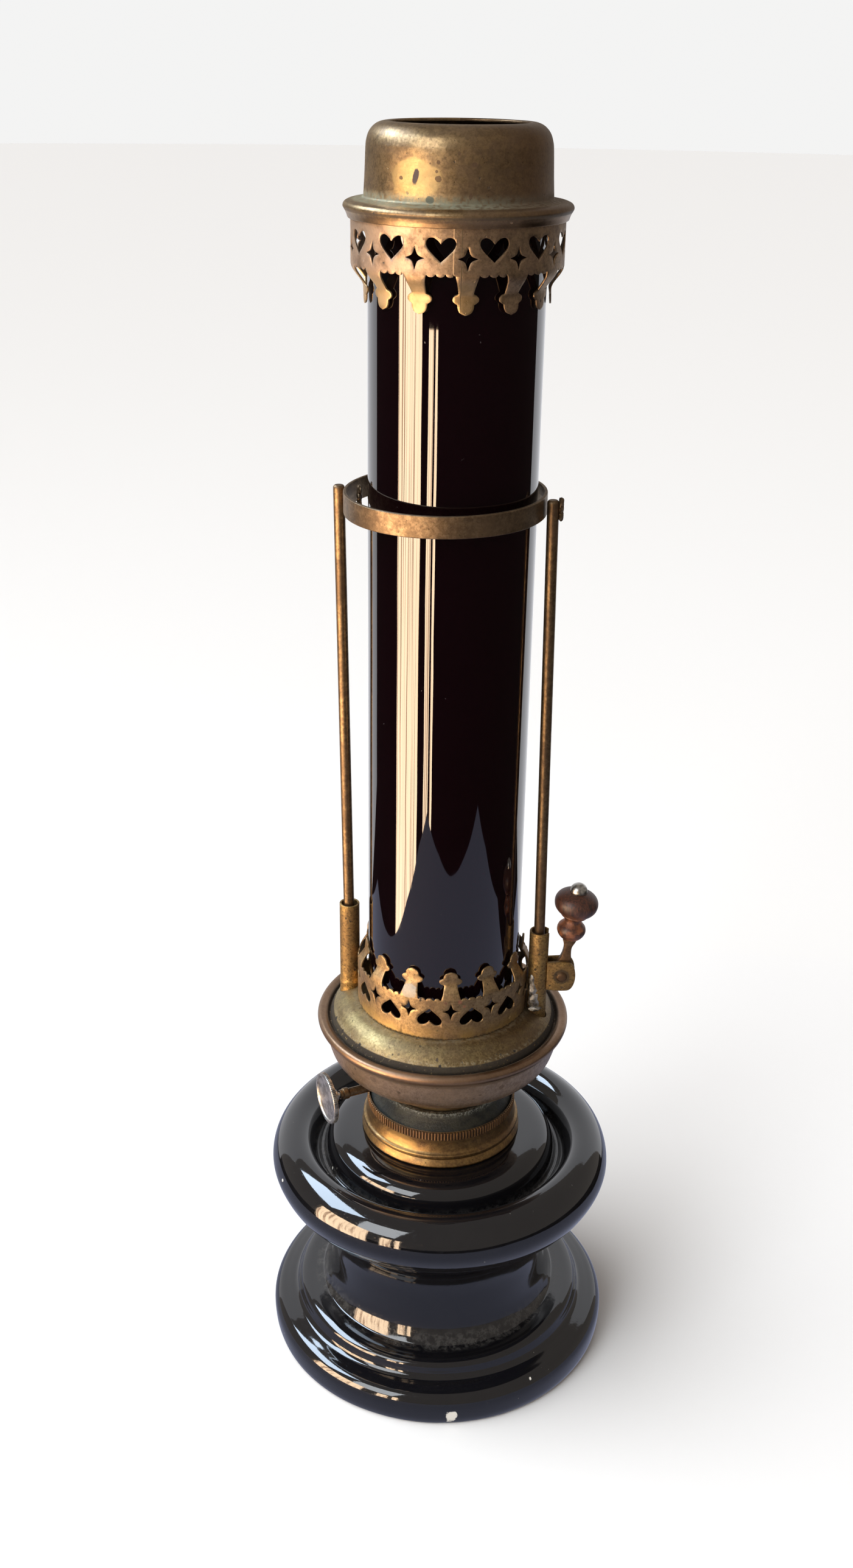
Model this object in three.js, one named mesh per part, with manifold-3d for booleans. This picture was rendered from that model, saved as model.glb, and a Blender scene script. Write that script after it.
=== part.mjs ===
// Paraffin darkroom lamp: glazed foot and font, brass burner, ruby glass cylinder on two rods.
// Millimetres, +Z up, the lamp axis on x = y = 0, the foot stands on z = 0.
// The clamp lever is on the +X side; the wick wheel is on the -X, -Y side.
import * as THREE from 'three';
import { mergeVertices } from 'three/addons/utils/BufferGeometryUtils.js';
import Module from 'manifold-3d';

const wasm = await Module();
wasm.setup();

// ---------------------------------------------------------------- fits
const TURNED_GAP = 0.3;      // between two turned faces that face each other
const SOLDER_GAP = 0.15;     // between two pieces that are soldered together
const SLIDE_GAP = 0.35;      // round a shaft that turns or slides in a bore
const REST_GAP = 0.1;        // under a piece that lifts off

// ---------------------------------------------------------------- facets
const BIG_SEGMENTS = 36;     // foot, font, bowl, plate and cap
const SMALL_SEGMENTS = 20;   // rods, sleeves, rivets
const STRIP_PITCHES = 13;    // hearts, lozenges and prongs round one coronet
const STRIP_SEGMENTS = STRIP_PITCHES * 3;

// ---------------------------------------------------------------- foot and font
const FOOT_RADIUS = 71.6;
const FOOT_TOP_Z = 69.5;
const FONT_SEAT_Z = FOOT_TOP_Z + 0.2;
const TORUS_RADIUS = 70.6;
const FONT_HEIGHT = 28.9;    // from the seat on the foot to the shoulder
const SHOULDER_Z = FONT_SEAT_Z + FONT_HEIGHT;
const NECK_OUTER_R = 27.8;
const NECK_WALL = 5.2;
const NECK_INNER_R = NECK_OUTER_R - NECK_WALL;
const NECK_TOP_Z = SHOULDER_Z + 5.0;
const SPIGOT_R = 38;

// ---------------------------------------------------------------- collar, washer, burner base
const COLLAR_FLANGE_R = NECK_OUTER_R + 5.2;
const COLLAR_TOP_Z = SHOULDER_Z + 16.2;
const COLLAR_SEAT_Z = SHOULDER_Z + 13.4;
const COLLAR_BORE_R = NECK_OUTER_R - 2.8;
const GASKET_THICK = 0.8;
const BASE_RADIUS = COLLAR_BORE_R + 4.3;
const BASE_TOP_Z = COLLAR_SEAT_Z + 7.8;
const NOZZLE_R = BASE_RADIUS - 4.6;   // of the base where the bowl stands on it

// ---------------------------------------------------------------- glass and the strips round it
const GLASS_R = 30.0;
const GLASS_WALL = 2.4;
const GLASS_HEIGHT = 302.6;
const STRIP_SHEET = 0.6;
const LOWER_STRIP_R = GLASS_R + 4.4;
const UPPER_STRIP_R = GLASS_R + 5.5;
const PRONG_GRIP_R = GLASS_R + 1.0;   // middle of the sheet where a prong bears on the glass
const BAND_HEIGHT = 17.4;
const SCALLOP_RISE = 1.0;
const NOTCH_SPACING = 3.2;   // between the two notches that part the scallops
const LOWER_PRONG_REACH = 11.2;  // from the band to the tip of a prong
const UPPER_PRONG_REACH = 12.9;
const MOTIF_DEG = 5.4;       // the lozenge nearest the front, from -Y towards +X

// ---------------------------------------------------------------- rods, sleeves, guard ring
const ROD_R = 2.1;
const SLEEVE_BORE_R = ROD_R + 1.1;    // loose, since the rods have been bent
const SLEEVE_WALL = 0.8;
const SLEEVE_R = SLEEVE_BORE_R + SLEEVE_WALL;
const ROD_RING_R = LOWER_STRIP_R + SOLDER_GAP + SLEEVE_R;  // from the lamp axis to each rod
const FRAME_LEAN_DEG = -0.8; // the rods and guard ring have been bent a little towards -X
const RIGHT_ROD_DEG = -12.8;
const LEFT_ROD_DEG = 170.6;
const SOCKET_R = ROD_R + 1.3;
const GUARD_RING_R = ROD_RING_R - ROD_R - SLIDE_GAP;
const GUARD_RING_SHEET = 1.2;
const GUARD_RING_HEIGHT = 7.8;

// ---------------------------------------------------------------- bowl and gallery plate
const PLATE_RADIUS = ROD_RING_R + 6.85;
const RIM_RADIUS = PLATE_RADIUS + 5.4;
const BOWL_DEPTH = 32.7;     // from the top of the base up to the ledge
const LEDGE_Z = BASE_TOP_Z + BOWL_DEPTH;
const PLATE_RISE = 9.2;
const PLATE_TOP_Z = LEDGE_Z + PLATE_RISE;
const PLATE_BORE_R = GLASS_R - GLASS_WALL - 0.8;
const PLATE_SHEET = 0.9;
const AIR_HOLES = 8;
const AIR_HOLE_R = 2.4;
const AIR_HOLE_RING_R = PLATE_RADIUS - 14.9;
const SHIELD_R = PLATE_RADIUS - 11.6;   // it stands clear of the rod sockets

// ---------------------------------------------------------------- heights of the frame
const FRAME_PIVOT_Z = PLATE_TOP_Z + 18.3; // where the bent rods are central in the sleeves
const LEFT_ROD_TOP_Z = PLATE_TOP_Z + 207.3;
const RIGHT_ROD_TOP_Z = PLATE_TOP_Z + 205.9;
const SOCKET_TOP_Z = BASE_TOP_Z + 23.2;
const ROD_FOOT_Z = BASE_TOP_Z + 19.2;
const LEFT_SLEEVE_TOP_Z = PLATE_TOP_Z + 37.3;
const RIGHT_SLEEVE_TOP_Z = PLATE_TOP_Z + 34.8;
const SLEEVE_FOOT_Z = PLATE_TOP_Z - 7.1;
const GUARD_RING_Z = PLATE_TOP_Z + 199.5;
const GLASS_FOOT_Z = PLATE_TOP_Z + REST_GAP;
const GLASS_TOP_Z = GLASS_FOOT_Z + GLASS_HEIGHT;
const LOWER_STRIP_Z = PLATE_TOP_Z + REST_GAP;

// ---------------------------------------------------------------- cap
const UPPER_STRIP_Z = GLASS_TOP_Z - 1.0;
const CAP_RISE = 24.8;       // from the top of the glass to the top of the cap
const CAP_TOP_Z = GLASS_TOP_Z + CAP_RISE;
const CAP_HOLE_R = 22.8;
const CAP_SHEET = 0.7;
const BAFFLE_R = GLASS_R - 4.5;
const BAFFLE_Z = GLASS_TOP_Z + 10.6;
const LEG_WIDTH = 6.0;
const LEG_SHEET = 0.8;

// ---------------------------------------------------------------- ears, lever and handle
const PIVOT_REACH = 9.108;   // from the right rod out to the rivet
const PIVOT_X = ROD_RING_R * Math.cos(THREE.MathUtils.degToRad(RIGHT_ROD_DEG)) + PIVOT_REACH;
const PIVOT_Z = PLATE_TOP_Z + 15.6;
const EAR_SHEET = 1.2;
const EAR_GAP = 3.6;         // between the two ears, and the slit down the right sleeve
const EAR_HALF_HEIGHT = 6.2;
const EAR_CORNER_R = 3.4;
const EAR_END_X = PIVOT_X + 4.6;
const BLADE_THICK = EAR_GAP - 0.6;
const NECK_WIDTH = 3.2;      // of the lever, at its narrowest
const RIVET_R = 1.3;
const RIVET_HEAD_R = RIVET_R + 0.6;
const HANDLE_X = PIVOT_X + 2.55;
const HANDLE_Z = PIVOT_Z + 15.9;
const HANDLE_LEAN_DEG = 7.0;
const HANDLE_LENGTH = 21.0;
const TANG_R = 1.4;

// ---------------------------------------------------------------- wick and its wheel
const SPINDLE_DEG = 64.0;    // from -Y towards -X
const SPINDLE_Z = BASE_TOP_Z + 8.7;
const WICK_WIDTH = 23.0;
const WICK_THICK = 2.8;
const SPINDLE_R = 1.1;
const SPUR_R = 3.4;
const SPINDLE_OFFSET = WICK_THICK / 2 + SPUR_R + 0.1;  // the spurs just clear the wick
const GUIDE_R = SPINDLE_R + SLIDE_GAP + 0.35;
const GUIDE_INNER_S = NOZZLE_R - 3.1;
const GUIDE_OUTER_S = 47.5;
const WHEEL_R = 10.4;
const WHEEL_S = GUIDE_OUTER_S + 4.8;  // middle of the wheel, measured out along the spindle
const WICK_FOOT_Z = BASE_TOP_Z - 29.8;
const WICK_TOP_Z = PLATE_TOP_Z - 1.7;
const TUBE_WALL = 0.7;
const TUBE_TOP_Z = PLATE_TOP_Z - 3.7;
const TUBE_FOOT_Z = BASE_TOP_Z - 11.8;
const SPUR_THICK = 1.2;
const SPUR_PITCH_S = 7.0;
const SPUR_TEETH = 10;

// ---------------------------------------------------------------- materials
function material(color, roughness, metalness) {
  return new THREE.MeshStandardMaterial({ color, roughness, metalness });
}
const GLAZE = material(0x0d0d10, 0.16, 0.0);
const BRASS = material(0x8f7040, 0.42, 1.0);
const COPPERY = material(0x9a7358, 0.4, 1.0);
const DARK_BRASS = material(0x2c332a, 0.65, 0.8);
const STEELY = material(0xa8a6a0, 0.4, 1.0);
const WOOD = material(0x4a1d10, 0.35, 0.0);
const RUBY = material(0x2a0406, 0.05, 0.0);
const CORK = material(0x8a6a48, 0.9, 0.0);
const COTTON = material(0xd8ccb4, 0.95, 0.0);

// ---------------------------------------------------------------- solids
function toSolid(geometry) {
  const plain = geometry.clone();
  plain.deleteAttribute('normal');
  plain.deleteAttribute('uv');
  const merged = mergeVertices(plain, 1e-4);
  const source = merged.index.array;
  const kept = [];
  for (let i = 0; i < source.length; i += 3) {
    const [a, b, c] = [source[i], source[i + 1], source[i + 2]];
    if (a !== b && b !== c && c !== a) {
      kept.push(a, b, c);
    }
  }
  const position = merged.attributes.position.array;
  let volume = 0;
  const corner = [new THREE.Vector3(), new THREE.Vector3(), new THREE.Vector3()];
  for (let i = 0; i < kept.length; i += 3) {
    for (let k = 0; k < 3; k += 1) {
      corner[k].fromArray(position, kept[i + k] * 3);
    }
    volume += corner[0].dot(corner[1].clone().cross(corner[2]));
  }
  if (volume < 0) {
    for (let i = 0; i < kept.length; i += 3) {
      [kept[i], kept[i + 1]] = [kept[i + 1], kept[i]];
    }
  }
  return new wasm.Manifold(new wasm.Mesh({
    numProp: 3,
    vertProperties: Float32Array.from(position),
    triVerts: Uint32Array.from(kept),
  }));
}

function toGeometry(solid) {
  const mesh = solid.getMesh();
  const geometry = new THREE.BufferGeometry();
  const position = Float32Array.from(mesh.vertProperties);
  geometry.setAttribute('position', new THREE.BufferAttribute(position, 3));
  geometry.setIndex(new THREE.BufferAttribute(Uint32Array.from(mesh.triVerts), 1));
  geometry.computeVertexNormals();
  return geometry;
}

const lamp = new THREE.Group();
lamp.name = 'paraffin_darkroom_lamp';

function add(name, solid, surface) {
  const mesh = new THREE.Mesh(toGeometry(solid), surface);
  mesh.name = name;
  lamp.add(mesh);
}

function place(geometry, matrix) {
  const moved = geometry.clone();
  moved.applyMatrix4(matrix);
  return moved;
}

// A closed outline of [radius, height] pairs turned about the Z axis.
function turned(outline, segments = BIG_SEGMENTS) {
  const points = outline.map(([r, z]) => new THREE.Vector2(r, z));
  const open = outline[0][0] === 0 && outline[outline.length - 1][0] === 0;
  if (!open) {
    points.push(points[0].clone());
  }
  const geometry = new THREE.LatheGeometry(points, segments);
  geometry.rotateX(Math.PI / 2);
  return geometry;
}

// A flat outline pulled up by a thickness, lying in the XY plane from z = 0.
function slab(outline, thickness) {
  const shape = new THREE.Shape(outline.map(([x, y]) => new THREE.Vector2(x, y)));
  return new THREE.ExtrudeGeometry(shape, { depth: thickness, bevelEnabled: false });
}

// An outline whose plain heights are measured up from baseZ.
function raised(baseZ, outline) {
  return outline.map(([r, z]) => [r, baseZ + z]);
}

function rod(radius, z0, z1, segments = SMALL_SEGMENTS) {
  return turned([[0, z0], [radius, z0], [radius, z1], [0, z1]], segments);
}

function tube(outer, inner, z0, z1, segments = SMALL_SEGMENTS) {
  return turned([[outer, z0], [outer, z1], [inner, z1], [inner, z0]], segments);
}

function box(width, depth, height, x, y, z) {
  const geometry = new THREE.BoxGeometry(width, depth, height);
  geometry.translate(x, y, z);
  return geometry;
}

function polar(radius, degrees) {
  const angle = THREE.MathUtils.degToRad(degrees);
  return [radius * Math.cos(angle), radius * Math.sin(angle)];
}

function spinZ(geometry, degrees) {
  const turnedCopy = geometry.clone();
  turnedCopy.rotateZ(THREE.MathUtils.degToRad(degrees));
  return turnedCopy;
}

function at(geometry, x, y, z) {
  const moved = geometry.clone();
  moved.translate(x, y, z);
  return moved;
}

// ---------------------------------------------------------------- foot
const footOutline = [
  [FOOT_RADIUS - 9.1, 0], [FOOT_RADIUS - 0.7, 0], [FOOT_RADIUS, 3.5], [FOOT_RADIUS, 10.5],
  [FOOT_RADIUS - 2.0, 13.2], [FOOT_RADIUS - 9.0, 15.4], [FOOT_RADIUS - 11.0, 17.2],
  [FOOT_RADIUS - 11.8, 20.8], [56.0, 21.8], [50.4, 21.8],
  [48.2, 25.2], [45.9, 33], [45.0, FOOT_TOP_Z - 23.5], [46.4, FOOT_TOP_Z - 14.5],
  [50.6, FOOT_TOP_Z - 6.3], [60.4, FOOT_TOP_Z], [SPIGOT_R + 1.2, FOOT_TOP_Z],
  [39.6, FOOT_TOP_Z - 21.5], [41.0, 28], [47.0, 16.5], [FOOT_RADIUS - 9.1, 8],
];
add('pedestal_foot', toSolid(turned(footOutline)), GLAZE);

// ---------------------------------------------------------------- font
const fontOutline = raised(FONT_SEAT_Z, [
  [0, -7.2], [SPIGOT_R, -7.2], [SPIGOT_R, 0], [61.0, 0],
  [TORUS_RADIUS - 6.8, 1.9], [TORUS_RADIUS - 2.8, 6.9], [TORUS_RADIUS, 14.7],
  [TORUS_RADIUS - 1.4, 20.7], [TORUS_RADIUS - 5.0, 24.9],
  [TORUS_RADIUS - 10.0, 27.3], [56.4, 26.1], [52.8, 21.5], [50.0, 16.1], [48.0, 17.7],
  [47.4, 22.5], [45.2, 26.5], [41.0, 28.5], [NECK_OUTER_R + 6.4, FONT_HEIGHT],
  [NECK_OUTER_R, FONT_HEIGHT],
  [NECK_OUTER_R, NECK_TOP_Z - FONT_SEAT_Z], [NECK_INNER_R, NECK_TOP_Z - FONT_SEAT_Z],
  [NECK_INNER_R, 25.3],
  [40.0, 22.3], [44.6, 11.9], [60.5, 14.8], [TORUS_RADIUS - 6.0, 12.3], [58, 5.7], [0, 4.8],
]);
add('oil_font', toSolid(turned(fontOutline)), GLAZE);

// ---------------------------------------------------------------- collar
const collarOutline = raised(SHOULDER_Z, [
  [NECK_OUTER_R + TURNED_GAP, TURNED_GAP], [COLLAR_FLANGE_R - 0.4, TURNED_GAP],
  [COLLAR_FLANGE_R, 1], [NECK_OUTER_R + 3.6, 3.8], [NECK_OUTER_R + 4.6, 4.7],
  [NECK_OUTER_R + 4.6, 5.9],
  [NECK_OUTER_R + 3.1, 7.2], [NECK_OUTER_R + 2.6, 11.9], [NECK_OUTER_R + 2.8, 12.5],
  [NECK_OUTER_R + 2.8, 15.8], [NECK_OUTER_R + 2.2, COLLAR_TOP_Z - SHOULDER_Z],
  [BASE_RADIUS + 0.3, COLLAR_SEAT_Z - SHOULDER_Z],
  [COLLAR_BORE_R, COLLAR_SEAT_Z - SHOULDER_Z],
  [COLLAR_BORE_R, NECK_TOP_Z + TURNED_GAP - SHOULDER_Z],
  [NECK_OUTER_R + TURNED_GAP, NECK_TOP_Z + TURNED_GAP - SHOULDER_Z],
]);
add('collar', toSolid(turned(collarOutline)), BRASS);

const gasketTopZ = COLLAR_SEAT_Z + GASKET_THICK;
add('gasket', toSolid(tube(BASE_RADIUS - 0.1, COLLAR_BORE_R + 0.3, COLLAR_SEAT_Z, gasketTopZ,
  BIG_SEGMENTS)), CORK);

// ---------------------------------------------------------------- burner base
const plugR = COLLAR_BORE_R - TURNED_GAP;
const baseInnerR = plugR - 1.6;
const plugFoot = NECK_TOP_Z + 3 * TURNED_GAP - COLLAR_SEAT_Z;
const baseOutline = raised(COLLAR_SEAT_Z, [
  [plugR, plugFoot], [plugR, GASKET_THICK], [BASE_RADIUS, GASKET_THICK],
  [BASE_RADIUS, 1.7], [NOZZLE_R + 1.7, 4.9], [NOZZLE_R, BASE_TOP_Z - COLLAR_SEAT_Z],
  [NOZZLE_R - 4.1, BASE_TOP_Z - COLLAR_SEAT_Z], [baseInnerR, 4.6], [baseInnerR, plugFoot],
]);
add('burner_base', toSolid(turned(baseOutline)), DARK_BRASS);

// ---------------------------------------------------------------- spindle frame
// s runs out along the spindle; the frame's Z axis is the spindle, its Y axis points down.
const spindleTurn = THREE.MathUtils.degToRad(SPINDLE_DEG);
const outward = new THREE.Vector3(-Math.sin(spindleTurn), -Math.cos(spindleTurn), 0);
const sideways = new THREE.Vector3(Math.cos(spindleTurn), -Math.sin(spindleTurn), 0);
const spindleFrame = new THREE.Matrix4().makeBasis(
  sideways,
  new THREE.Vector3(0, 0, -1),
  outward,
);
spindleFrame.setPosition(
  sideways.x * SPINDLE_OFFSET,
  sideways.y * SPINDLE_OFFSET,
  SPINDLE_Z,
);

function onSpindle(geometry) {
  return toSolid(place(geometry, spindleFrame));
}

// ---------------------------------------------------------------- bowl
const bowlInner = raised(BASE_TOP_Z, [
  [PLATE_RADIUS + 0.7, BOWL_DEPTH], [PLATE_RADIUS - 1.3, BOWL_DEPTH],
  [PLATE_RADIUS - 1.3, 31.4], [PLATE_RADIUS + 1.5, 29.6],
  [PLATE_RADIUS - 0.5, 20.8], [PLATE_RADIUS - 3.2, 17.4], [PLATE_RADIUS - 8.6, 14.2],
  [NOZZLE_R + 0.3, 12.2],
  [NOZZLE_R - 2.5, 11.1], [NOZZLE_R - 3.3, 0],
]);
const bowlOutline = raised(BASE_TOP_Z, [
  [NOZZLE_R - 2.1, 0], [NOZZLE_R - 0.8, 4.6], [NOZZLE_R - 1.1, 9.8], [NOZZLE_R + 0.5, 11],
  [PLATE_RADIUS - 9.4, 12.6], [PLATE_RADIUS - 2.6, 16], [PLATE_RADIUS + 0.4, 20.3],
  [PLATE_RADIUS + 2.6, 29.2],
  [RIM_RADIUS - 0.4, 32], [RIM_RADIUS, 33.3], [RIM_RADIUS - 0.8, 34.6], [RIM_RADIUS - 2.6, 34.8],
  [PLATE_RADIUS + 0.9, 33.8],
]).concat(bowlInner);
let bowl = toSolid(turned(bowlOutline));
bowl = bowl.subtract(onSpindle(rod(GUIDE_R + SOLDER_GAP, 15, NOZZLE_R + 5.3)));
for (let i = 0; i < AIR_HOLES; i += 1) {
  const [x, y] = polar(AIR_HOLE_RING_R, (i + 0.25) * 360 / AIR_HOLES);
  bowl = bowl.subtract(toSolid(at(rod(AIR_HOLE_R, BASE_TOP_Z + 8.2, BASE_TOP_Z + 16.2, 6), x, y, 0)));
}
add('burner_bowl', bowl, COPPERY);

const shieldOutline = raised(BASE_TOP_Z, [
  [SHIELD_R, 17.1], [SHIELD_R, 17.8], [SHIELD_R - 6.8, 19.8], [SHIELD_R - 6.8, 19.1],
]);
add('air_shield', toSolid(turned(shieldOutline)), DARK_BRASS);

// ---------------------------------------------------------------- rods, sockets, guard ring
const cavityOutline = [
  [0, BASE_TOP_Z + 12.8],
  ...bowlInner.slice(2, 8).reverse().map(([r, z]) => [r - SOLDER_GAP, z + SOLDER_GAP]),
  [0, LEDGE_Z - 1.2],
];
const cavity = toSolid(turned(cavityOutline));
const frameLean = new THREE.Matrix4()
  .makeTranslation(0, 0, FRAME_PIVOT_Z)
  .multiply(new THREE.Matrix4().makeRotationY(THREE.MathUtils.degToRad(FRAME_LEAN_DEG)))
  .multiply(new THREE.Matrix4().makeTranslation(0, 0, -FRAME_PIVOT_Z));
function onFrame(geometry) {
  return toSolid(place(geometry, frameLean));
}
const rodTops = { left: LEFT_ROD_TOP_Z, right: RIGHT_ROD_TOP_Z };
const rodSpots = {
  left: polar(ROD_RING_R, LEFT_ROD_DEG),
  right: polar(ROD_RING_R, RIGHT_ROD_DEG),
};
for (const [side, [x, y]] of Object.entries(rodSpots)) {
  let socket = onFrame(at(rod(SOCKET_R, BASE_TOP_Z + 10.2, SOCKET_TOP_Z), x, y, 0)).intersect(cavity);
  const bore = rod(ROD_R + SOLDER_GAP, ROD_FOOT_Z - 0.1, SOCKET_TOP_Z + 7);
  socket = socket.subtract(onFrame(at(bore, x, y, 0)));
  add(`${side}_rod_socket`, socket, BRASS);
  const topZ = rodTops[side];
  const bar = turned([
    [0, ROD_FOOT_Z], [ROD_R, ROD_FOOT_Z], [ROD_R, topZ - 0.8], [ROD_R - 0.7, topZ], [0, topZ],
  ], SMALL_SEGMENTS);
  add(`${side}_rod`, onFrame(at(bar, x, y, 0)), BRASS);
}
add('guard_ring', onFrame(tube(GUARD_RING_R, GUARD_RING_R - GUARD_RING_SHEET, GUARD_RING_Z,
  GUARD_RING_Z + GUARD_RING_HEIGHT, BIG_SEGMENTS)), BRASS);

// ---------------------------------------------------------------- gallery plate
const plateOutline = raised(LEDGE_Z, [
  [PLATE_BORE_R, PLATE_RISE], [PLATE_BORE_R, PLATE_RISE - PLATE_SHEET],
  [LOWER_STRIP_R + 2.0, 7.9], [LOWER_STRIP_R + 6.2, 5.8],
  [PLATE_RADIUS - 1.2, 1.5], [PLATE_RADIUS - 1.2, REST_GAP], [PLATE_RADIUS, REST_GAP],
  [PLATE_RADIUS, 1.8], [PLATE_RADIUS - 1.0, 2.7], [LOWER_STRIP_R + 7.0, 6.4],
  [LOWER_STRIP_R + 2.6, 8.7],
  [LOWER_STRIP_R + 0.5, PLATE_RISE],
]);
let plate = toSolid(turned(plateOutline));
for (const [x, y] of Object.values(rodSpots)) {
  const opening = rod(SLEEVE_R + SOLDER_GAP, LEDGE_Z - 2.5, PLATE_TOP_Z + 3.3);
  plate = plate.subtract(toSolid(at(opening, x, y, 0)));
}
add('gallery_plate', plate, BRASS);

// ---------------------------------------------------------------- flame cone
const coneOutline = raised(PLATE_TOP_Z, [
  [PLATE_BORE_R + 3.4, -1.2], [PLATE_BORE_R + 3.4, -1.9], [PLATE_BORE_R - 1.6, -1.9],
  [PLATE_BORE_R - 6.4, 3.5],
  [11.0, 7.3], [0, 8.3], [0, 9.1], [11.4, 8.1], [PLATE_BORE_R - 5.8, 4.1],
  [PLATE_BORE_R - 1.1, -1.2],
]);
let cone = toSolid(turned(coneOutline, 26));
const slotTurn = 90 - SPINDLE_DEG + 180;
cone = cone.subtract(toSolid(spinZ(box(WICK_WIDTH + 4, WICK_THICK + 4.7, 14, 0, 0, PLATE_TOP_Z + 6.3), slotTurn)));
add('flame_cone', cone, BRASS);

// ---------------------------------------------------------------- wick tube and wick
const tubeGap = 0.4;
const tubeInnerW = WICK_WIDTH + 2 * tubeGap;
const tubeInnerT = WICK_THICK + 2 * tubeGap;
const tubeMidZ = (TUBE_TOP_Z + TUBE_FOOT_Z) / 2;
const tubeHeight = TUBE_TOP_Z - TUBE_FOOT_Z;
const tubeShell = box(tubeInnerW + 2 * TUBE_WALL, tubeInnerT + 2 * TUBE_WALL, tubeHeight,
  0, 0, tubeMidZ);
let wickTube = toSolid(spinZ(tubeShell, slotTurn));
wickTube = wickTube.add(toSolid(rod(NOZZLE_R - 4.5, BASE_TOP_Z - 2.4, BASE_TOP_Z - 1.4,
  BIG_SEGMENTS)));
wickTube = wickTube.subtract(toSolid(spinZ(
  box(tubeInnerW, tubeInnerT, tubeHeight + 20, 0, 0, tubeMidZ), slotTurn)));
for (let i = -1; i <= 1; i += 1) {
  wickTube = wickTube.subtract(onSpindle(
    box(SPUR_R * 2 + 2, SPUR_R * 2 + 2, SPUR_THICK + 0.8, 0, 0, i * SPUR_PITCH_S)));
}
add('wick_tube', wickTube, BRASS);
const wickHeight = WICK_TOP_Z - WICK_FOOT_Z;
add('wick', toSolid(spinZ(
  box(WICK_WIDTH, WICK_THICK, wickHeight, 0, 0, WICK_FOOT_Z + wickHeight / 2), slotTurn)),
COTTON);

// ---------------------------------------------------------------- spindle, spurs, guide, wheel
add('wick_spindle', onSpindle(rod(SPINDLE_R, -12, WHEEL_S - 0.4, 16)), STEELY);
function spurOutline() {
  const outline = [];
  for (let i = 0; i < SPUR_TEETH; i += 1) {
    const tip = i * 360 / SPUR_TEETH;
    outline.push(polar(SPUR_R - 0.9, tip - 180 / SPUR_TEETH));
    outline.push(polar(SPUR_R, tip));
  }
  return outline;
}
const spurNames = ['spur_wheel_inner', 'spur_wheel_middle', 'spur_wheel_outer'];
spurNames.forEach((name, i) => {
  const midS = (i - 1) * SPUR_PITCH_S;
  const disc = at(slab(spurOutline(), SPUR_THICK), 0, 0, midS - SPUR_THICK / 2);
  const hole = rod(SPINDLE_R + SOLDER_GAP, midS - 2, midS + 2, 16);
  add(name, onSpindle(disc).subtract(onSpindle(hole)), STEELY);
});
add('spindle_guide', onSpindle(tube(GUIDE_R, SPINDLE_R + SLIDE_GAP, GUIDE_INNER_S,
  GUIDE_OUTER_S, 16)), BRASS);
const wheelOutline = [
  [0, WHEEL_S + 0.9], [8.9, WHEEL_S + 0.9], [9.2, WHEEL_S + 1.5], [WHEEL_R, WHEEL_S + 1.4],
  [WHEEL_R, WHEEL_S - 0.4], [2.6, WHEEL_S - 0.2], [2.4, WHEEL_S - 3.6],
  [SPINDLE_R + SOLDER_GAP, WHEEL_S - 3.6], [SPINDLE_R + SOLDER_GAP, WHEEL_S - 0.2],
  [0, WHEEL_S - 0.2],
];
add('wick_wheel', onSpindle(turned(wheelOutline, 28)), STEELY);

// ---------------------------------------------------------------- coronets
// h runs from the plain edge of the strip (0) towards the prongs.
const heartOutline = [
  [0, 13.4], [3.4, 10.2], [4.4, 8.2], [2.4, 6.8], [0, 8.3], [-2.4, 6.8], [-4.4, 8.2],
  [-3.4, 10.2],
];
const lozengeOutline = [
  [0, 9.5], [0.8, 11.6], [2.6, 12.6], [0.8, 13.6], [0, 15.7], [-0.8, 13.6], [-2.6, 12.6],
  [-0.8, 11.6],
];
// Each row is a share of the prong's reach and half the width there.
const prongRows = [
  [-0.06, 3.9], [0.25, 3.1], [0.5, 2.7], [0.58, 4.6], [0.72, 4.5], [0.82, 2.9], [1, 1.2],
];

function wedgeCut(outline, radius, zAt, degrees) {
  const matrix = new THREE.Matrix4().makeBasis(
    new THREE.Vector3(0, 1, 0),
    new THREE.Vector3(0, 0, 1),
    new THREE.Vector3(1, 0, 0),
  );
  matrix.setPosition(radius - 6, 0, 0);
  const shaped = slab(outline.map(([u, h]) => [u, zAt(h)]), 12);
  return toSolid(spinZ(place(shaped, matrix), degrees));
}

// One prong: rows of flat bars that follow a line bent in to the glass.
function prong(stripR, zAt, reach, degrees) {
  const middle = stripR - STRIP_SHEET / 2;
  const position = [];
  prongRows.forEach(([share, half]) => {
    const lean = THREE.MathUtils.smoothstep(share, 0.0, 0.62);
    const r = THREE.MathUtils.lerp(middle, PRONG_GRIP_R, lean);
    const z = zAt(BAND_HEIGHT + share * reach);
    for (const [dr, du] of [[-1, -1], [1, -1], [1, 1], [-1, 1]]) {
      position.push(r + dr * STRIP_SHEET / 2, du * half, z);
    }
  });
  const index = [];
  for (let row = 0; row + 1 < prongRows.length; row += 1) {
    for (let k = 0; k < 4; k += 1) {
      const a = row * 4 + k;
      const b = row * 4 + (k + 1) % 4;
      index.push(a, b, b + 4, a, b + 4, a + 4);
    }
  }
  const top = (prongRows.length - 1) * 4;
  index.push(0, 2, 1, 0, 3, 2, top, top + 1, top + 2, top, top + 2, top + 3);
  const geometry = new THREE.BufferGeometry();
  geometry.setAttribute('position', new THREE.Float32BufferAttribute(position, 3));
  geometry.setIndex(index);
  return toSolid(spinZ(geometry, degrees));
}

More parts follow.
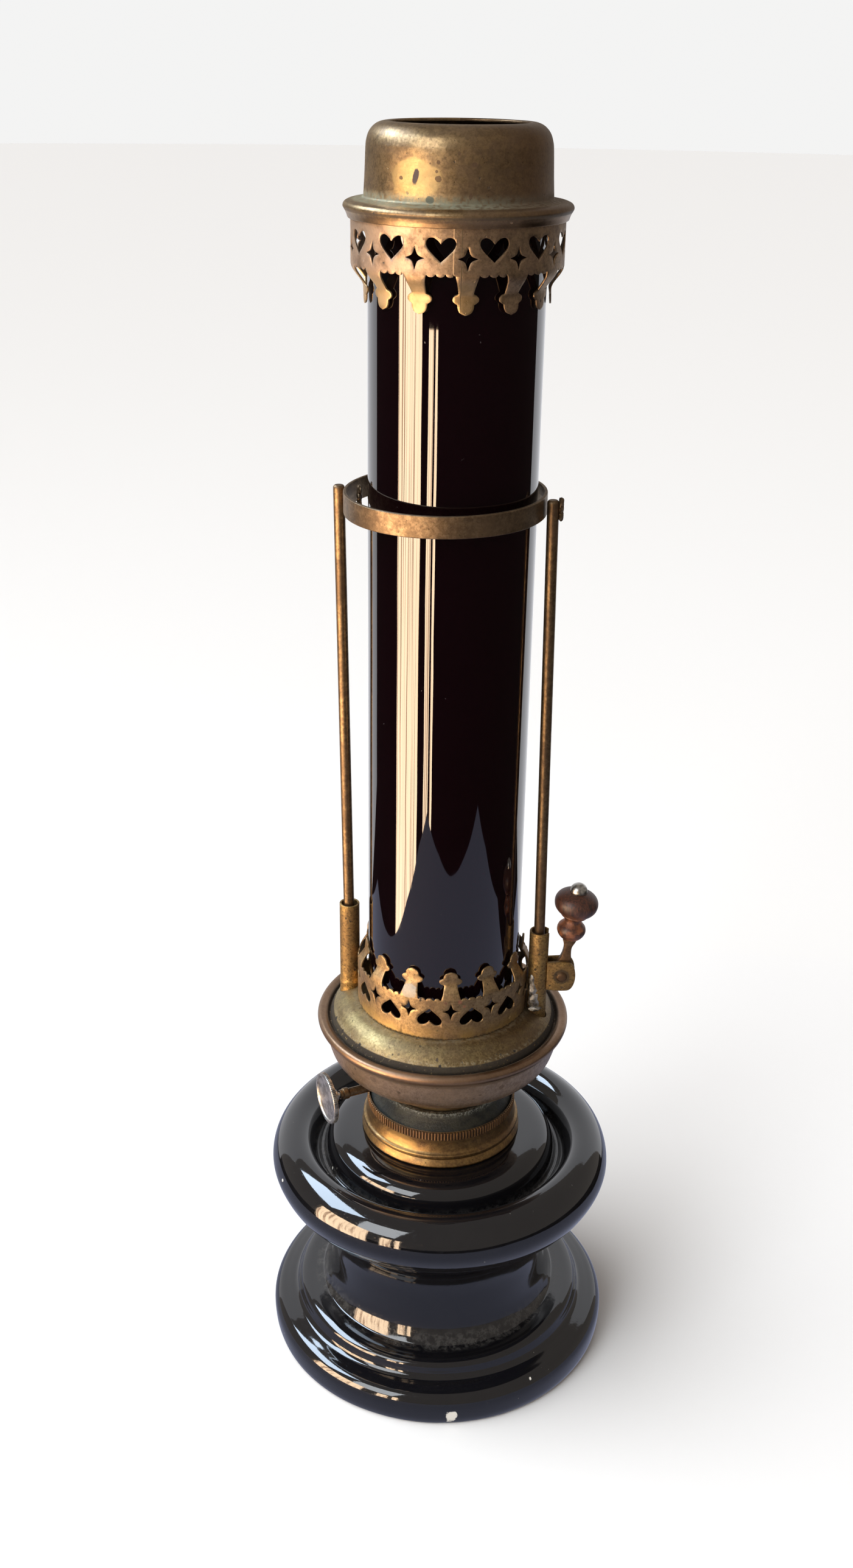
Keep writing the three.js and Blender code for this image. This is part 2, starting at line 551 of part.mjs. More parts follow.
function coronet(stripR, baseZ, direction, reach) {
  const zAt = (h) => baseZ + direction * h;
  const edge = zAt(BAND_HEIGHT + SCALLOP_RISE);
  const low = Math.min(baseZ, edge);
  const high = Math.max(baseZ, edge);
  let strip = toSolid(tube(stripR, stripR - STRIP_SHEET, low, high, STRIP_SEGMENTS));
  const pitch = 360 / STRIP_PITCHES;
  const halfStep = stripR * THREE.MathUtils.degToRad(pitch / 2);
  const notchTop = BAND_HEIGHT + SCALLOP_RISE + 0.5;
  const notch = [[-1.1, notchTop], [0, BAND_HEIGHT - 0.3], [1.1, notchTop]];
  for (let i = 0; i < STRIP_PITCHES; i += 1) {
    const degrees = MOTIF_DEG - 90 + i * pitch;
    strip = strip.subtract(wedgeCut(lozengeOutline, stripR, zAt, degrees));
    strip = strip.subtract(wedgeCut(heartOutline, stripR, zAt, degrees + pitch / 2));
    for (const u of [halfStep - NOTCH_SPACING / 2, halfStep + NOTCH_SPACING / 2]) {
      const turn = THREE.MathUtils.radToDeg(u / stripR);
      strip = strip.subtract(wedgeCut(notch, stripR, zAt, degrees + turn));
    }
    strip = strip.add(prong(stripR, zAt, reach, degrees));
  }
  return strip;
}
add('lower_coronet', coronet(LOWER_STRIP_R, LOWER_STRIP_Z, 1, LOWER_PRONG_REACH), BRASS);
add('upper_coronet', coronet(UPPER_STRIP_R, UPPER_STRIP_Z, -1, UPPER_PRONG_REACH), BRASS);

// ---------------------------------------------------------------- sleeves and ears
function sleeve(x, y, topZ) {
  return toSolid(at(tube(SLEEVE_R, SLEEVE_BORE_R, SLEEVE_FOOT_Z, topZ, 24), x, y, 0));
}
add('left_sleeve', sleeve(...rodSpots.left, LEFT_SLEEVE_TOP_Z), BRASS);

const [rightX, rightY] = rodSpots.right;
const earY = rightY;
// Lays a flat XZ outline on edge, from the y given, running back towards +Y.
function upright(outline, y, thickness) {
  const geometry = slab(outline, thickness);
  geometry.rotateX(Math.PI / 2);
  geometry.translate(0, y + thickness, 0);
  return toSolid(geometry);
}
const earOutline = [[rightX, PIVOT_Z - EAR_HALF_HEIGHT]];
const cornerX = EAR_END_X - EAR_CORNER_R;
const cornerZ = EAR_HALF_HEIGHT - EAR_CORNER_R;
for (const [side, from] of [[-1, -90], [1, 0]]) {
  for (let i = 0; i <= 3; i += 1) {
    const [dx, dz] = polar(EAR_CORNER_R, from + i * 30);
    earOutline.push([cornerX + dx, PIVOT_Z + side * cornerZ + dz]);
  }
}
earOutline.push([rightX, PIVOT_Z + EAR_HALF_HEIGHT]);
let rightSleeve = toSolid(at(rod(SLEEVE_R, SLEEVE_FOOT_Z, RIGHT_SLEEVE_TOP_Z, 24),
  rightX, rightY, 0));
rightSleeve = rightSleeve.add(upright(earOutline, earY + EAR_GAP / 2, EAR_SHEET));
rightSleeve = rightSleeve.add(upright(earOutline, earY - EAR_GAP / 2 - EAR_SHEET, EAR_SHEET));
rightSleeve = rightSleeve.subtract(toSolid(at(rod(SLEEVE_BORE_R, SLEEVE_FOOT_Z - 5, RIGHT_SLEEVE_TOP_Z + 5, 24),
  rightX, rightY, 0)));
rightSleeve = rightSleeve.subtract(toSolid(
  box(8, EAR_GAP, 60, rightX + 4.5, earY, PIVOT_Z)));
function onPivot(geometry) {
  const moved = geometry.clone();
  moved.rotateX(Math.PI / 2);
  moved.translate(PIVOT_X, earY, PIVOT_Z);
  return toSolid(moved);
}
rightSleeve = rightSleeve.subtract(onPivot(rod(RIVET_R + SOLDER_GAP, -6, 6, 16)));
add('right_sleeve', rightSleeve, BRASS);

const earOuter = EAR_GAP / 2 + EAR_SHEET;
const headStart = earOuter + 0.05;
const rivetOutline = [
  [0, -headStart - 0.9], [RIVET_R, -headStart - 0.7], [RIVET_HEAD_R, -headStart],
  [RIVET_R, -headStart], [RIVET_R, headStart], [RIVET_HEAD_R, headStart],
  [RIVET_R, headStart + 0.7], [0, headStart + 0.9],
];
add('lever_rivet', onPivot(turned(rivetOutline, 16)), BRASS);

// ---------------------------------------------------------------- lever and handle
const rodFaceX = rightX + ROD_R;
const noseX = rodFaceX + 0.15;
const leverOutline = [
  [noseX, PIVOT_Z - 0.4], [PIVOT_X - 4.4, PIVOT_Z - 3.4], [PIVOT_X - 1.6, PIVOT_Z - 4.8],
  [PIVOT_X + 1.8, PIVOT_Z - 4.4], [PIVOT_X + 4.0, PIVOT_Z - 2.0], [PIVOT_X + 4.4, PIVOT_Z + 2.4],
  [PIVOT_X + 4.0, PIVOT_Z + 5.4], [PIVOT_X + 3.5, PIVOT_Z + 10.6], [HANDLE_X + 2.7, HANDLE_Z - 0.3],
  [HANDLE_X - 2.7, HANDLE_Z + 0.1], [PIVOT_X + 3.5 - NECK_WIDTH, PIVOT_Z + 10.6],
  [PIVOT_X - 2.2, PIVOT_Z + 5.2], [PIVOT_X - 5.0, PIVOT_Z + 2.8], [noseX, PIVOT_Z + 1.8],
];
const handleFrame = new THREE.Matrix4().makeRotationY(
  THREE.MathUtils.degToRad(HANDLE_LEAN_DEG));
handleFrame.setPosition(HANDLE_X, earY, HANDLE_Z);
function onHandle(geometry) {
  return toSolid(place(geometry, handleFrame));
}
let lever = upright(leverOutline, earY - BLADE_THICK / 2, BLADE_THICK);
lever = lever.add(onHandle(rod(TANG_R, -2.5, HANDLE_LENGTH - 0.3, 12)));
lever = lever.subtract(onPivot(rod(RIVET_R + SLIDE_GAP, -6, 6, 16)));
add('clamp_lever', lever, BRASS);

const handleBore = TANG_R + 0.25;
const handleOutline = [
  [handleBore, 0.3], [2.9, 0.3], [4.7, 1.8], [5.65, 4.2], [5.2, 6.0], [3.7, 7.6], [3.5, 9.0],
  [5.4, 11.0], [7.8, 13.2], [8.5, 15.8], [7.4, 19.0], [3.4, HANDLE_LENGTH],
  [handleBore, HANDLE_LENGTH],
];
add('wooden_handle', onHandle(turned(handleOutline, SMALL_SEGMENTS)), WOOD);
const capRivetOutline = [
  [0, HANDLE_LENGTH], [3.3, HANDLE_LENGTH], [3.2, HANDLE_LENGTH + 1.0],
  [2.3, HANDLE_LENGTH + 2.8], [0, HANDLE_LENGTH + 3.5],
];
add('handle_rivet_cap', onHandle(turned(capRivetOutline, 20)), STEELY);

// ---------------------------------------------------------------- glass
add('ruby_glass', toSolid(tube(GLASS_R, GLASS_R - GLASS_WALL, GLASS_FOOT_Z, GLASS_TOP_Z,
  BIG_SEGMENTS)), RUBY);

// ---------------------------------------------------------------- cap
const stripClearR = UPPER_STRIP_R + SOLDER_GAP + 0.1;
const capOutline = [
  [CAP_HOLE_R, CAP_TOP_Z - 1.0], [CAP_HOLE_R, CAP_TOP_Z - 0.4], [CAP_HOLE_R + 0.7, CAP_TOP_Z],
  [GLASS_R - 3.6, CAP_TOP_Z - 0.7], [GLASS_R - 0.8, CAP_TOP_Z - 3.1],
  [GLASS_R + 0.5, CAP_TOP_Z - 7.4], [GLASS_R + 1.2, UPPER_STRIP_Z + 2.8],
  [UPPER_STRIP_R + 0.7, UPPER_STRIP_Z + 1.8], [UPPER_STRIP_R + 2.5, UPPER_STRIP_Z - 0.1],
  [UPPER_STRIP_R + 1.0, UPPER_STRIP_Z - 3.6], [stripClearR, UPPER_STRIP_Z - 3.6],
  [stripClearR, UPPER_STRIP_Z + 0.2],
  [GLASS_R + 1.0, UPPER_STRIP_Z + 0.2], [GLASS_R + 1.2 - CAP_SHEET, UPPER_STRIP_Z + 3.0],
  [GLASS_R + 0.5 - CAP_SHEET, CAP_TOP_Z - 7.8], [GLASS_R - 1.4, CAP_TOP_Z - 3.7],
  [GLASS_R - 4.0, CAP_TOP_Z - 1.4],
];
add('cap', toSolid(turned(capOutline)), BRASS);

const legFootZ = GLASS_TOP_Z + REST_GAP;
const legOuterR = GLASS_R - 0.5;
const legOutline = [
  [GLASS_R - 3.0, legFootZ], [legOuterR, legFootZ], [legOuterR, BAFFLE_Z],
  [BAFFLE_R - 3.0, BAFFLE_Z], [BAFFLE_R - 3.0, BAFFLE_Z - LEG_SHEET],
  [legOuterR - LEG_SHEET, BAFFLE_Z - LEG_SHEET],
  [legOuterR - LEG_SHEET, legFootZ + LEG_SHEET], [GLASS_R - 3.0, legFootZ + LEG_SHEET],
];
for (let i = 0; i < 3; i += 1) {
  const leg = slab(legOutline, LEG_WIDTH);
  leg.rotateX(Math.PI / 2);
  leg.translate(0, LEG_WIDTH / 2, 0);
  add(`baffle_leg_${i + 1}`, toSolid(spinZ(leg, 30 + i * 120)), BRASS);
}
const baffleOutline = [
  [0, BAFFLE_Z], [BAFFLE_R, BAFFLE_Z], [BAFFLE_R, BAFFLE_Z + 0.9], [0, BAFFLE_Z + 2.6],
];
add('light_baffle', toSolid(turned(baffleOutline, 32)), DARK_BRASS);

export default lamp;
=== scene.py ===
"""Looks of a paraffin darkroom lamp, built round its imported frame.

Lengths are millimetres up to the moment a mesh is made, and metres in Blender.
The lamp's axis is x = y = 0, it stands on z = 0, and its seam side faces -Y.
"""

import math

import bmesh
import bpy
import numpy as np
from mathutils import Matrix, Vector, geometry, noise


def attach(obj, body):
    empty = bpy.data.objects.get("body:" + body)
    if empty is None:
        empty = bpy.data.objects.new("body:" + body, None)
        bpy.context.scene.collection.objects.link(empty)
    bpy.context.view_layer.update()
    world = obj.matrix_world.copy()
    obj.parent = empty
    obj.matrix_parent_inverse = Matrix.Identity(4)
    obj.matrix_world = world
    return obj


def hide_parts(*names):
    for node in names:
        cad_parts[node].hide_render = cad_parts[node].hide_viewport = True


MM = 0.001

# ---------------------------------------------------------------- camera
CAMERA_AT = (0.0, -0.5592, 0.5122)
CAMERA_PITCH = 0.4315
CAMERA_ROLL = 0.0140
CAMERA_YAW = -0.0140
LENS = 37.02


def make_camera():
    """The camera stands a little above the cap, looks down, and is hardly tilted."""
    forward = Vector(
        (
            math.sin(CAMERA_YAW) * math.cos(CAMERA_PITCH),
            math.cos(CAMERA_YAW) * math.cos(CAMERA_PITCH),
            -math.sin(CAMERA_PITCH),
        )
    )
    level = Vector((math.cos(CAMERA_YAW), -math.sin(CAMERA_YAW), 0))
    above = level.cross(forward)
    right = level * math.cos(CAMERA_ROLL) + above * math.sin(CAMERA_ROLL)
    up = above * math.cos(CAMERA_ROLL) - level * math.sin(CAMERA_ROLL)
    data = bpy.data.cameras.new("camera")
    data.sensor_width = 36
    data.lens = LENS
    data.clip_start = 0.01
    camera = bpy.data.objects.new("camera", data)
    turn = Matrix((right, up, -forward)).transposed().to_4x4()
    camera.matrix_world = Matrix.Translation(CAMERA_AT) @ turn
    bpy.context.scene.collection.objects.link(camera)
    bpy.context.scene.camera = camera


make_camera()
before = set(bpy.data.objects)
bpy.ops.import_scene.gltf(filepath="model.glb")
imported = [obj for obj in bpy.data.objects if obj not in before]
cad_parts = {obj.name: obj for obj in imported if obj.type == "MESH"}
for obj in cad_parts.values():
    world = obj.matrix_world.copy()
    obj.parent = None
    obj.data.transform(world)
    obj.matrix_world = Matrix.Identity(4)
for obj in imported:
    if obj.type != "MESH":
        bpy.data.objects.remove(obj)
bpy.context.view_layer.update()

# ---------------------------------------------------------------- sizes shared with the solids
FRAME_LEAN = math.radians(-0.8)
FRAME_PIVOT_Z = 180
LEAN = (
    Matrix.Translation((0, 0, FRAME_PIVOT_Z))
    @ Matrix.Rotation(FRAME_LEAN, 4, "Y")
    @ Matrix.Translation((0, 0, -FRAME_PIVOT_Z))
)
ROD_R = 2.1
ROD_RING_R = 38.55
LEFT_ROD_DEG = 170.6
RIGHT_ROD_DEG = -12.8
LEFT_ROD_TOP = 369
RIGHT_ROD_TOP = 367.6
ROD_FOOT = 139
SLEEVE_R = 4.0
SLEEVE_BORE_R = 3.2
SLEEVE_FOOT = 154.6
LEFT_SLEEVE_TOP = 199
RIGHT_SLEEVE_TOP = 196.5
GUARD_R = 36.1
GUARD_SHEET = 1.2
GUARD_Z = 361.2
GUARD_HEIGHT = 7.8
GLASS_R = 30.0
GLASS_WALL = 2.4
GLASS_FOOT = 161.8
GLASS_TOP = 464.4
PITCHES = 13
MOTIF_DEG = 5.4
STRIP_SHEET = 0.6
BAND_HEIGHT = 17.4
GRIP_R = 31.0
SPINDLE_DEG = 64.0
SPINDLE_Z = 128.5
SPINDLE_OFFSET = 4.9
WHEEL_S = 52.3
WHEEL_R = 10.4
PIVOT_X = 46.7
PIVOT_Z = 177.3
EAR_GAP = 3.6
EAR_SHEET = 1.2
LEVER_SHEET = 3.0
RIVET_HOLE_R = 1.62
HANDLE_X = 49.25
HANDLE_Z = 193.2
HANDLE_LEAN = math.radians(7)


def polar(radius, degrees):
    """A point on a circle round the axis, its angle measured from +X."""
    angle = math.radians(degrees)
    return radius * math.cos(angle), radius * math.sin(angle)


LEFT_SPOT = polar(ROD_RING_R, LEFT_ROD_DEG)
RIGHT_SPOT = polar(ROD_RING_R, RIGHT_ROD_DEG)
EAR_Y = RIGHT_SPOT[1]


# ---------------------------------------------------------------- outlines
def catmull(before, start, end, after, steps):
    """Points of a smooth curve from start up to, not including, end."""
    t = np.linspace(0, 1, steps, endpoint=False)[:, None]
    first, last = (end - before) / 2, (after - start) / 2
    return (
        (2 * t**3 - 3 * t**2 + 1) * start
        + (t**3 - 2 * t**2 + t) * first
        + (3 * t**2 - 2 * t**3) * end
        + (t**3 - t**2) * last
    )


def outline(points, steps=7, closed=True):
    """A fine line through points. A point with a third number is a corner of that radius."""
    spots = [np.array(p[:2], float) for p in points]
    radii = [p[2] if len(p) > 2 else None for p in points]
    count = len(points)
    fine = []
    corners = {}
    spans = count if closed else count - 1
    for i in range(spans):
        j = (i + 1) % count
        start, end = spots[i], spots[j]
        if radii[i] is not None or (not closed and i == 0):
            corners[len(fine)] = radii[i] or 0
        if radii[i] is not None and radii[j] is not None:
            fine.append(start)
            continue
        before = 2 * start - end if i in ends_of(radii, closed, 0) else spots[i - 1]
        after = 2 * end - start if j in ends_of(radii, closed, 1) else spots[(j + 1) % count]
        fine.extend(catmull(before, start, end, after, steps))
    if not closed:
        fine.append(spots[-1])
        corners[len(fine) - 1] = radii[-1] or 0
    return round_corners(fine, corners, closed)


def ends_of(radii, closed, side):
    """The corners, and the two ends of an open line: a smooth run stops at each."""
    found = {i for i, r in enumerate(radii) if r is not None}
    if not closed:
        found.add(0 if side == 0 else len(radii) - 1)
    return found


def step_along(fine, index, direction, distance, closed):
    """Walks along a line from a vertex, and returns the point reached and the vertices passed."""
    here = fine[index]
    passed = []
    left = distance
    at = index
    for _ in range(len(fine)):
        nxt = at + direction
        if not closed and not 0 <= nxt < len(fine):
            return here, passed
        nxt %= len(fine)
        length = float(np.linalg.norm(fine[nxt] - here))
        if length > left:
            return here + (fine[nxt] - here) * (left / length), passed
        left -= length
        here = fine[nxt]
        passed.append(nxt)
        at = nxt
    return here, passed


def round_corners(fine, corners, closed):
    """Replaces each corner with a small arc, and backs it with a point on each side."""
    dropped = set()
    arcs = {}
    for index, radius in corners.items():
        if radius <= 0:
            continue
        start, passed_a = step_along(fine, index, -1, radius, closed)
        end, passed_b = step_along(fine, index, 1, radius, closed)
        lead, near_a = step_along(fine, index, -1, radius * 1.7, closed)
        tail, near_b = step_along(fine, index, 1, radius * 1.7, closed)
        dropped.update(passed_a, passed_b, near_a, near_b)
        t = np.linspace(0, 1, 6)[:, None]
        arc = (1 - t) ** 2 * start + 2 * t * (1 - t) * fine[index] + t**2 * end
        arcs[index] = [lead, *arc, tail]
    made = []
    for i, spot in enumerate(fine):
        if i in arcs:
            made.extend(arcs[i])
        elif i not in dropped:
            made.append(spot)
    return [p for i, p in enumerate(made) if i == 0 or np.linalg.norm(p - made[i - 1]) > 1e-4]


# ---------------------------------------------------------------- meshes
def bands(rings, around):
    """The four-sided faces between rings of corners that follow each other."""
    faces = []
    for row in range(rings - 1):
        for i in range(around):
            n = (i + 1) % around
            faces.append([row * around + i, row * around + n,
                          (row + 1) * around + n, (row + 1) * around + i])
    return faces


class Shape:
    """Corners in millimetres and faces, gathered before they become a mesh."""

    def __init__(self):
        self.spots = []
        self.faces = []
        self.finish = []

    def add(self, spots, faces, matrix=None, finish=0):
        start = len(self.spots)
        moved = [Vector(p) for p in spots]
        if matrix is not None:
            moved = [matrix @ p for p in moved]
        self.spots.extend(moved)
        self.faces.extend([start + i for i in face] for face in faces)
        self.finish.extend([finish] * len(faces))
        return self

    def lathe(self, loop, segments, matrix=None, finish=0, sweep=None):
        """Turns a line of (radius, height) about Z. One with both ends on the axis is closed by it."""
        on_axis = [abs(p[0]) < 1e-6 for p in loop]
        open_line = on_axis[0] and on_axis[-1]
        spots, rows = [], []
        for (radius, height), pole in zip(loop, on_axis):
            if pole:
                rows.append([len(spots)] * segments)
                spots.append((0, 0, height))
                continue
            rows.append(list(range(len(spots), len(spots) + segments)))
            for k in range(segments):
                angle = 2 * math.pi * k / segments
                spots.append((radius * math.cos(angle), radius * math.sin(angle), height))
        faces = []
        for i in range(len(rows) - 1 if open_line else len(rows)):
            low, high = rows[i], rows[(i + 1) % len(rows)]
            for k in range(segments):
                n = (k + 1) % segments
                face = [low[k], low[n], high[n], high[k]]
                face = [c for c, was in zip(face, [None, *face[:-1]]) if c != was]
                if face[0] == face[-1]:
                    face = face[:-1]
                if len(set(face)) > 2:
                    faces.append(face)
        return self.add(spots, faces, matrix, finish)

    def slab(self, line, thickness, matrix=None, finish=0):
        """A flat outline with rounded edges, in the XY plane, centred on z = 0."""
        edge = min(0.25, thickness / 4)
        rings = []
        for height, pull in (
            (-thickness / 2, edge), (-thickness / 2 + edge * 0.3, edge * 0.3),
            (-thickness / 2 + edge, 0), (thickness / 2 - edge, 0),
            (thickness / 2 - edge * 0.3, edge * 0.3), (thickness / 2, edge),
        ):
            ring = []
            for i, p in enumerate(line):
                along = line[(i + 1) % len(line)] - line[i - 1]
                inward = np.array((-along[1], along[0])) / max(np.linalg.norm(along), 1e-6)
                if winding(line) < 0:
                    inward = -inward
                x, y = p + inward * pull
                ring.append((x, y, height))
            rings.append(ring)
        spots = [p for ring in rings for p in ring]
        faces = bands(len(rings), len(line))
        top = (len(rings) - 1) * len(line)
        flat = [Vector((p[0], p[1], 0)) for p in rings[-1]]
        for tri in geometry.tessellate_polygon([flat]):
            faces.append([top + i for i in tri])
            faces.append(list(reversed(tri)))
        return self.add(spots, faces, matrix, finish)

    def mesh(self, name):
        data = bpy.data.meshes.new(name)
        data.from_pydata([p * MM for p in self.spots], [], self.faces)
        data.polygons.foreach_set("material_index", self.finish)
        return data


def winding(line):
    """Twice the area inside a flat outline, positive if it runs anticlockwise."""
    total = 0
    for i, p in enumerate(line):
        q = line[(i + 1) % len(line)]
        total += p[0] * q[1] - q[0] * p[1]
    return total


def tidy(data, merge=1e-6, sharp_deg=38):
    """Merges doubles, turns every face outwards and marks the sharp edges."""
    work = bmesh.new()
    work.from_mesh(data)
    bmesh.ops.remove_doubles(work, verts=work.verts, dist=merge)
    bmesh.ops.recalc_face_normals(work, faces=work.faces)
    work.to_mesh(data)
    work.free()
    data.shade_smooth()
    data.set_sharp_from_angle(angle=math.radians(sharp_deg))


def smooth_mesh(shape, name):
    """The tidied mesh of a shape, ready to be cut."""
    data = shape.mesh(name)
    tidy(data)
    return data


def subdivided(line, longest, closed=False):
    """A line with its long stretches divided, so that it can bend and wobble."""
    dense = []
    for a, b in zip(line, [*line[1:], line[0]] if closed else line[1:]):
        steps = max(1, int(np.linalg.norm(b - a) / longest))
        dense.extend(a + (b - a) * k / steps for k in range(steps))
    return dense if closed else [*dense, line[-1]]


def add_object(name, data):
    thing = bpy.data.objects.new(name, data)
    bpy.context.scene.collection.objects.link(thing)
    return thing


def piece(name, shape, finishes, body, nodes, sharp_deg=38):
    """Makes a shape a finished piece that rides on a body and stands for its nodes."""
    data = shape if isinstance(shape, bpy.types.Mesh) else shape.mesh(name)
    tidy(data, sharp_deg=sharp_deg)
    thing = add_object(name, data)
    for finish in finishes:
        data.materials.append(finish)
    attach(thing, body)
    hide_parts(*nodes)
    return thing


def bake(thing):
    """Applies every modifier of an object into a plain new mesh."""
    bpy.context.view_layer.update()
    graph = bpy.context.evaluated_depsgraph_get()
    data = bpy.data.meshes.new_from_object(thing.evaluated_get(graph))
    thing.modifiers.clear()
    return data


def cut(data, cutters):
    """Cuts closed shapes out of a mesh."""
    body = add_object("cut_body", data)
    tools = []
    for i, shape in enumerate(cutters):
        tool = add_object(f"cutter_{i}", smooth_mesh(shape, f"cutter_{i}"))
        modifier = body.modifiers.new(f"cut_{i}", "BOOLEAN")
        modifier.object = tool
        modifier.operation = "DIFFERENCE"
        modifier.solver = "MANIFOLD"
        tools.append(tool)
    made = bake(body)
    made.materials.clear()
    for thing in [*tools, body]:
        bpy.data.objects.remove(thing)
    return made


def wobble(shape, depth, size, seed=0.0, only=None):
    """Moves a shape's corners in and out a little, as hand work and knocks leave it."""
    for p in shape.spots:
        share = 1 if only is None else only(p)
        if share == 0:
            continue
        spot = Vector((p.x, p.y, p.z)) / size + Vector((seed, seed * 2, -seed))
        radius = math.hypot(p.x, p.y) or 1
        push = noise.noise(spot) * depth * share
        p.x += p.x / radius * push
        p.y += p.y / radius * push
        p.z += noise.noise(spot + Vector((9, 4, 2))) * depth * 0.5 * share
    return shape


def blob(at, radii, matrix=None, seed=1.0, rough=0.35, rings=12):
    """A lump of solder: a squashed ball with an uneven skin, its centre at a point."""
    spots = []
    around = rings * 2
    for i in range(rings + 1):
        tilt = math.pi * i / rings
        for k in range(around):
            angle = 2 * math.pi * k / around
            way = Vector((math.sin(tilt) * math.cos(angle), math.sin(tilt) * math.sin(angle),
                          math.cos(tilt)))
            swell = 1 + rough * noise.noise(way * 1.7 + Vector((seed, seed, seed)))
            spots.append([way[a] * radii[a] * swell for a in range(3)])
    place = Matrix.Translation(at) @ (matrix or Matrix.Identity(4))
    return spots, bands(rings + 1, around), place


# ---------------------------------------------------------------- shader formulas
def add_node(tree, kind, settings, inputs):
    """A node: its settings first, then the values or links of its sockets."""
    made = tree.nodes.new(kind)
    for key, value in (settings or {}).items():
        setattr(made, key, value)
    for key, value in (inputs or {}).items():
        if isinstance(value, bpy.types.NodeSocket):
            tree.links.new(value, made.inputs[key])
        else:
            made.inputs[key].default_value = value
    return made


class Sock:
    """A socket in a formula. Sums and products of it add Math nodes."""

    def __init__(self, finish, socket):
        self.finish = finish
        self.socket = socket

    def __add__(self, other):
        return self.finish.maths("ADD", self, other)

    __radd__ = __add__

    def __sub__(self, other):
        return self.finish.maths("SUBTRACT", self, other)

    def __rsub__(self, other):
        return self.finish.maths("SUBTRACT", other, self)

    def __mul__(self, other):
        return self.finish.maths("MULTIPLY", self, other)

    __rmul__ = __mul__

    def __truediv__(self, other):
        return self.finish.maths("DIVIDE", self, other)


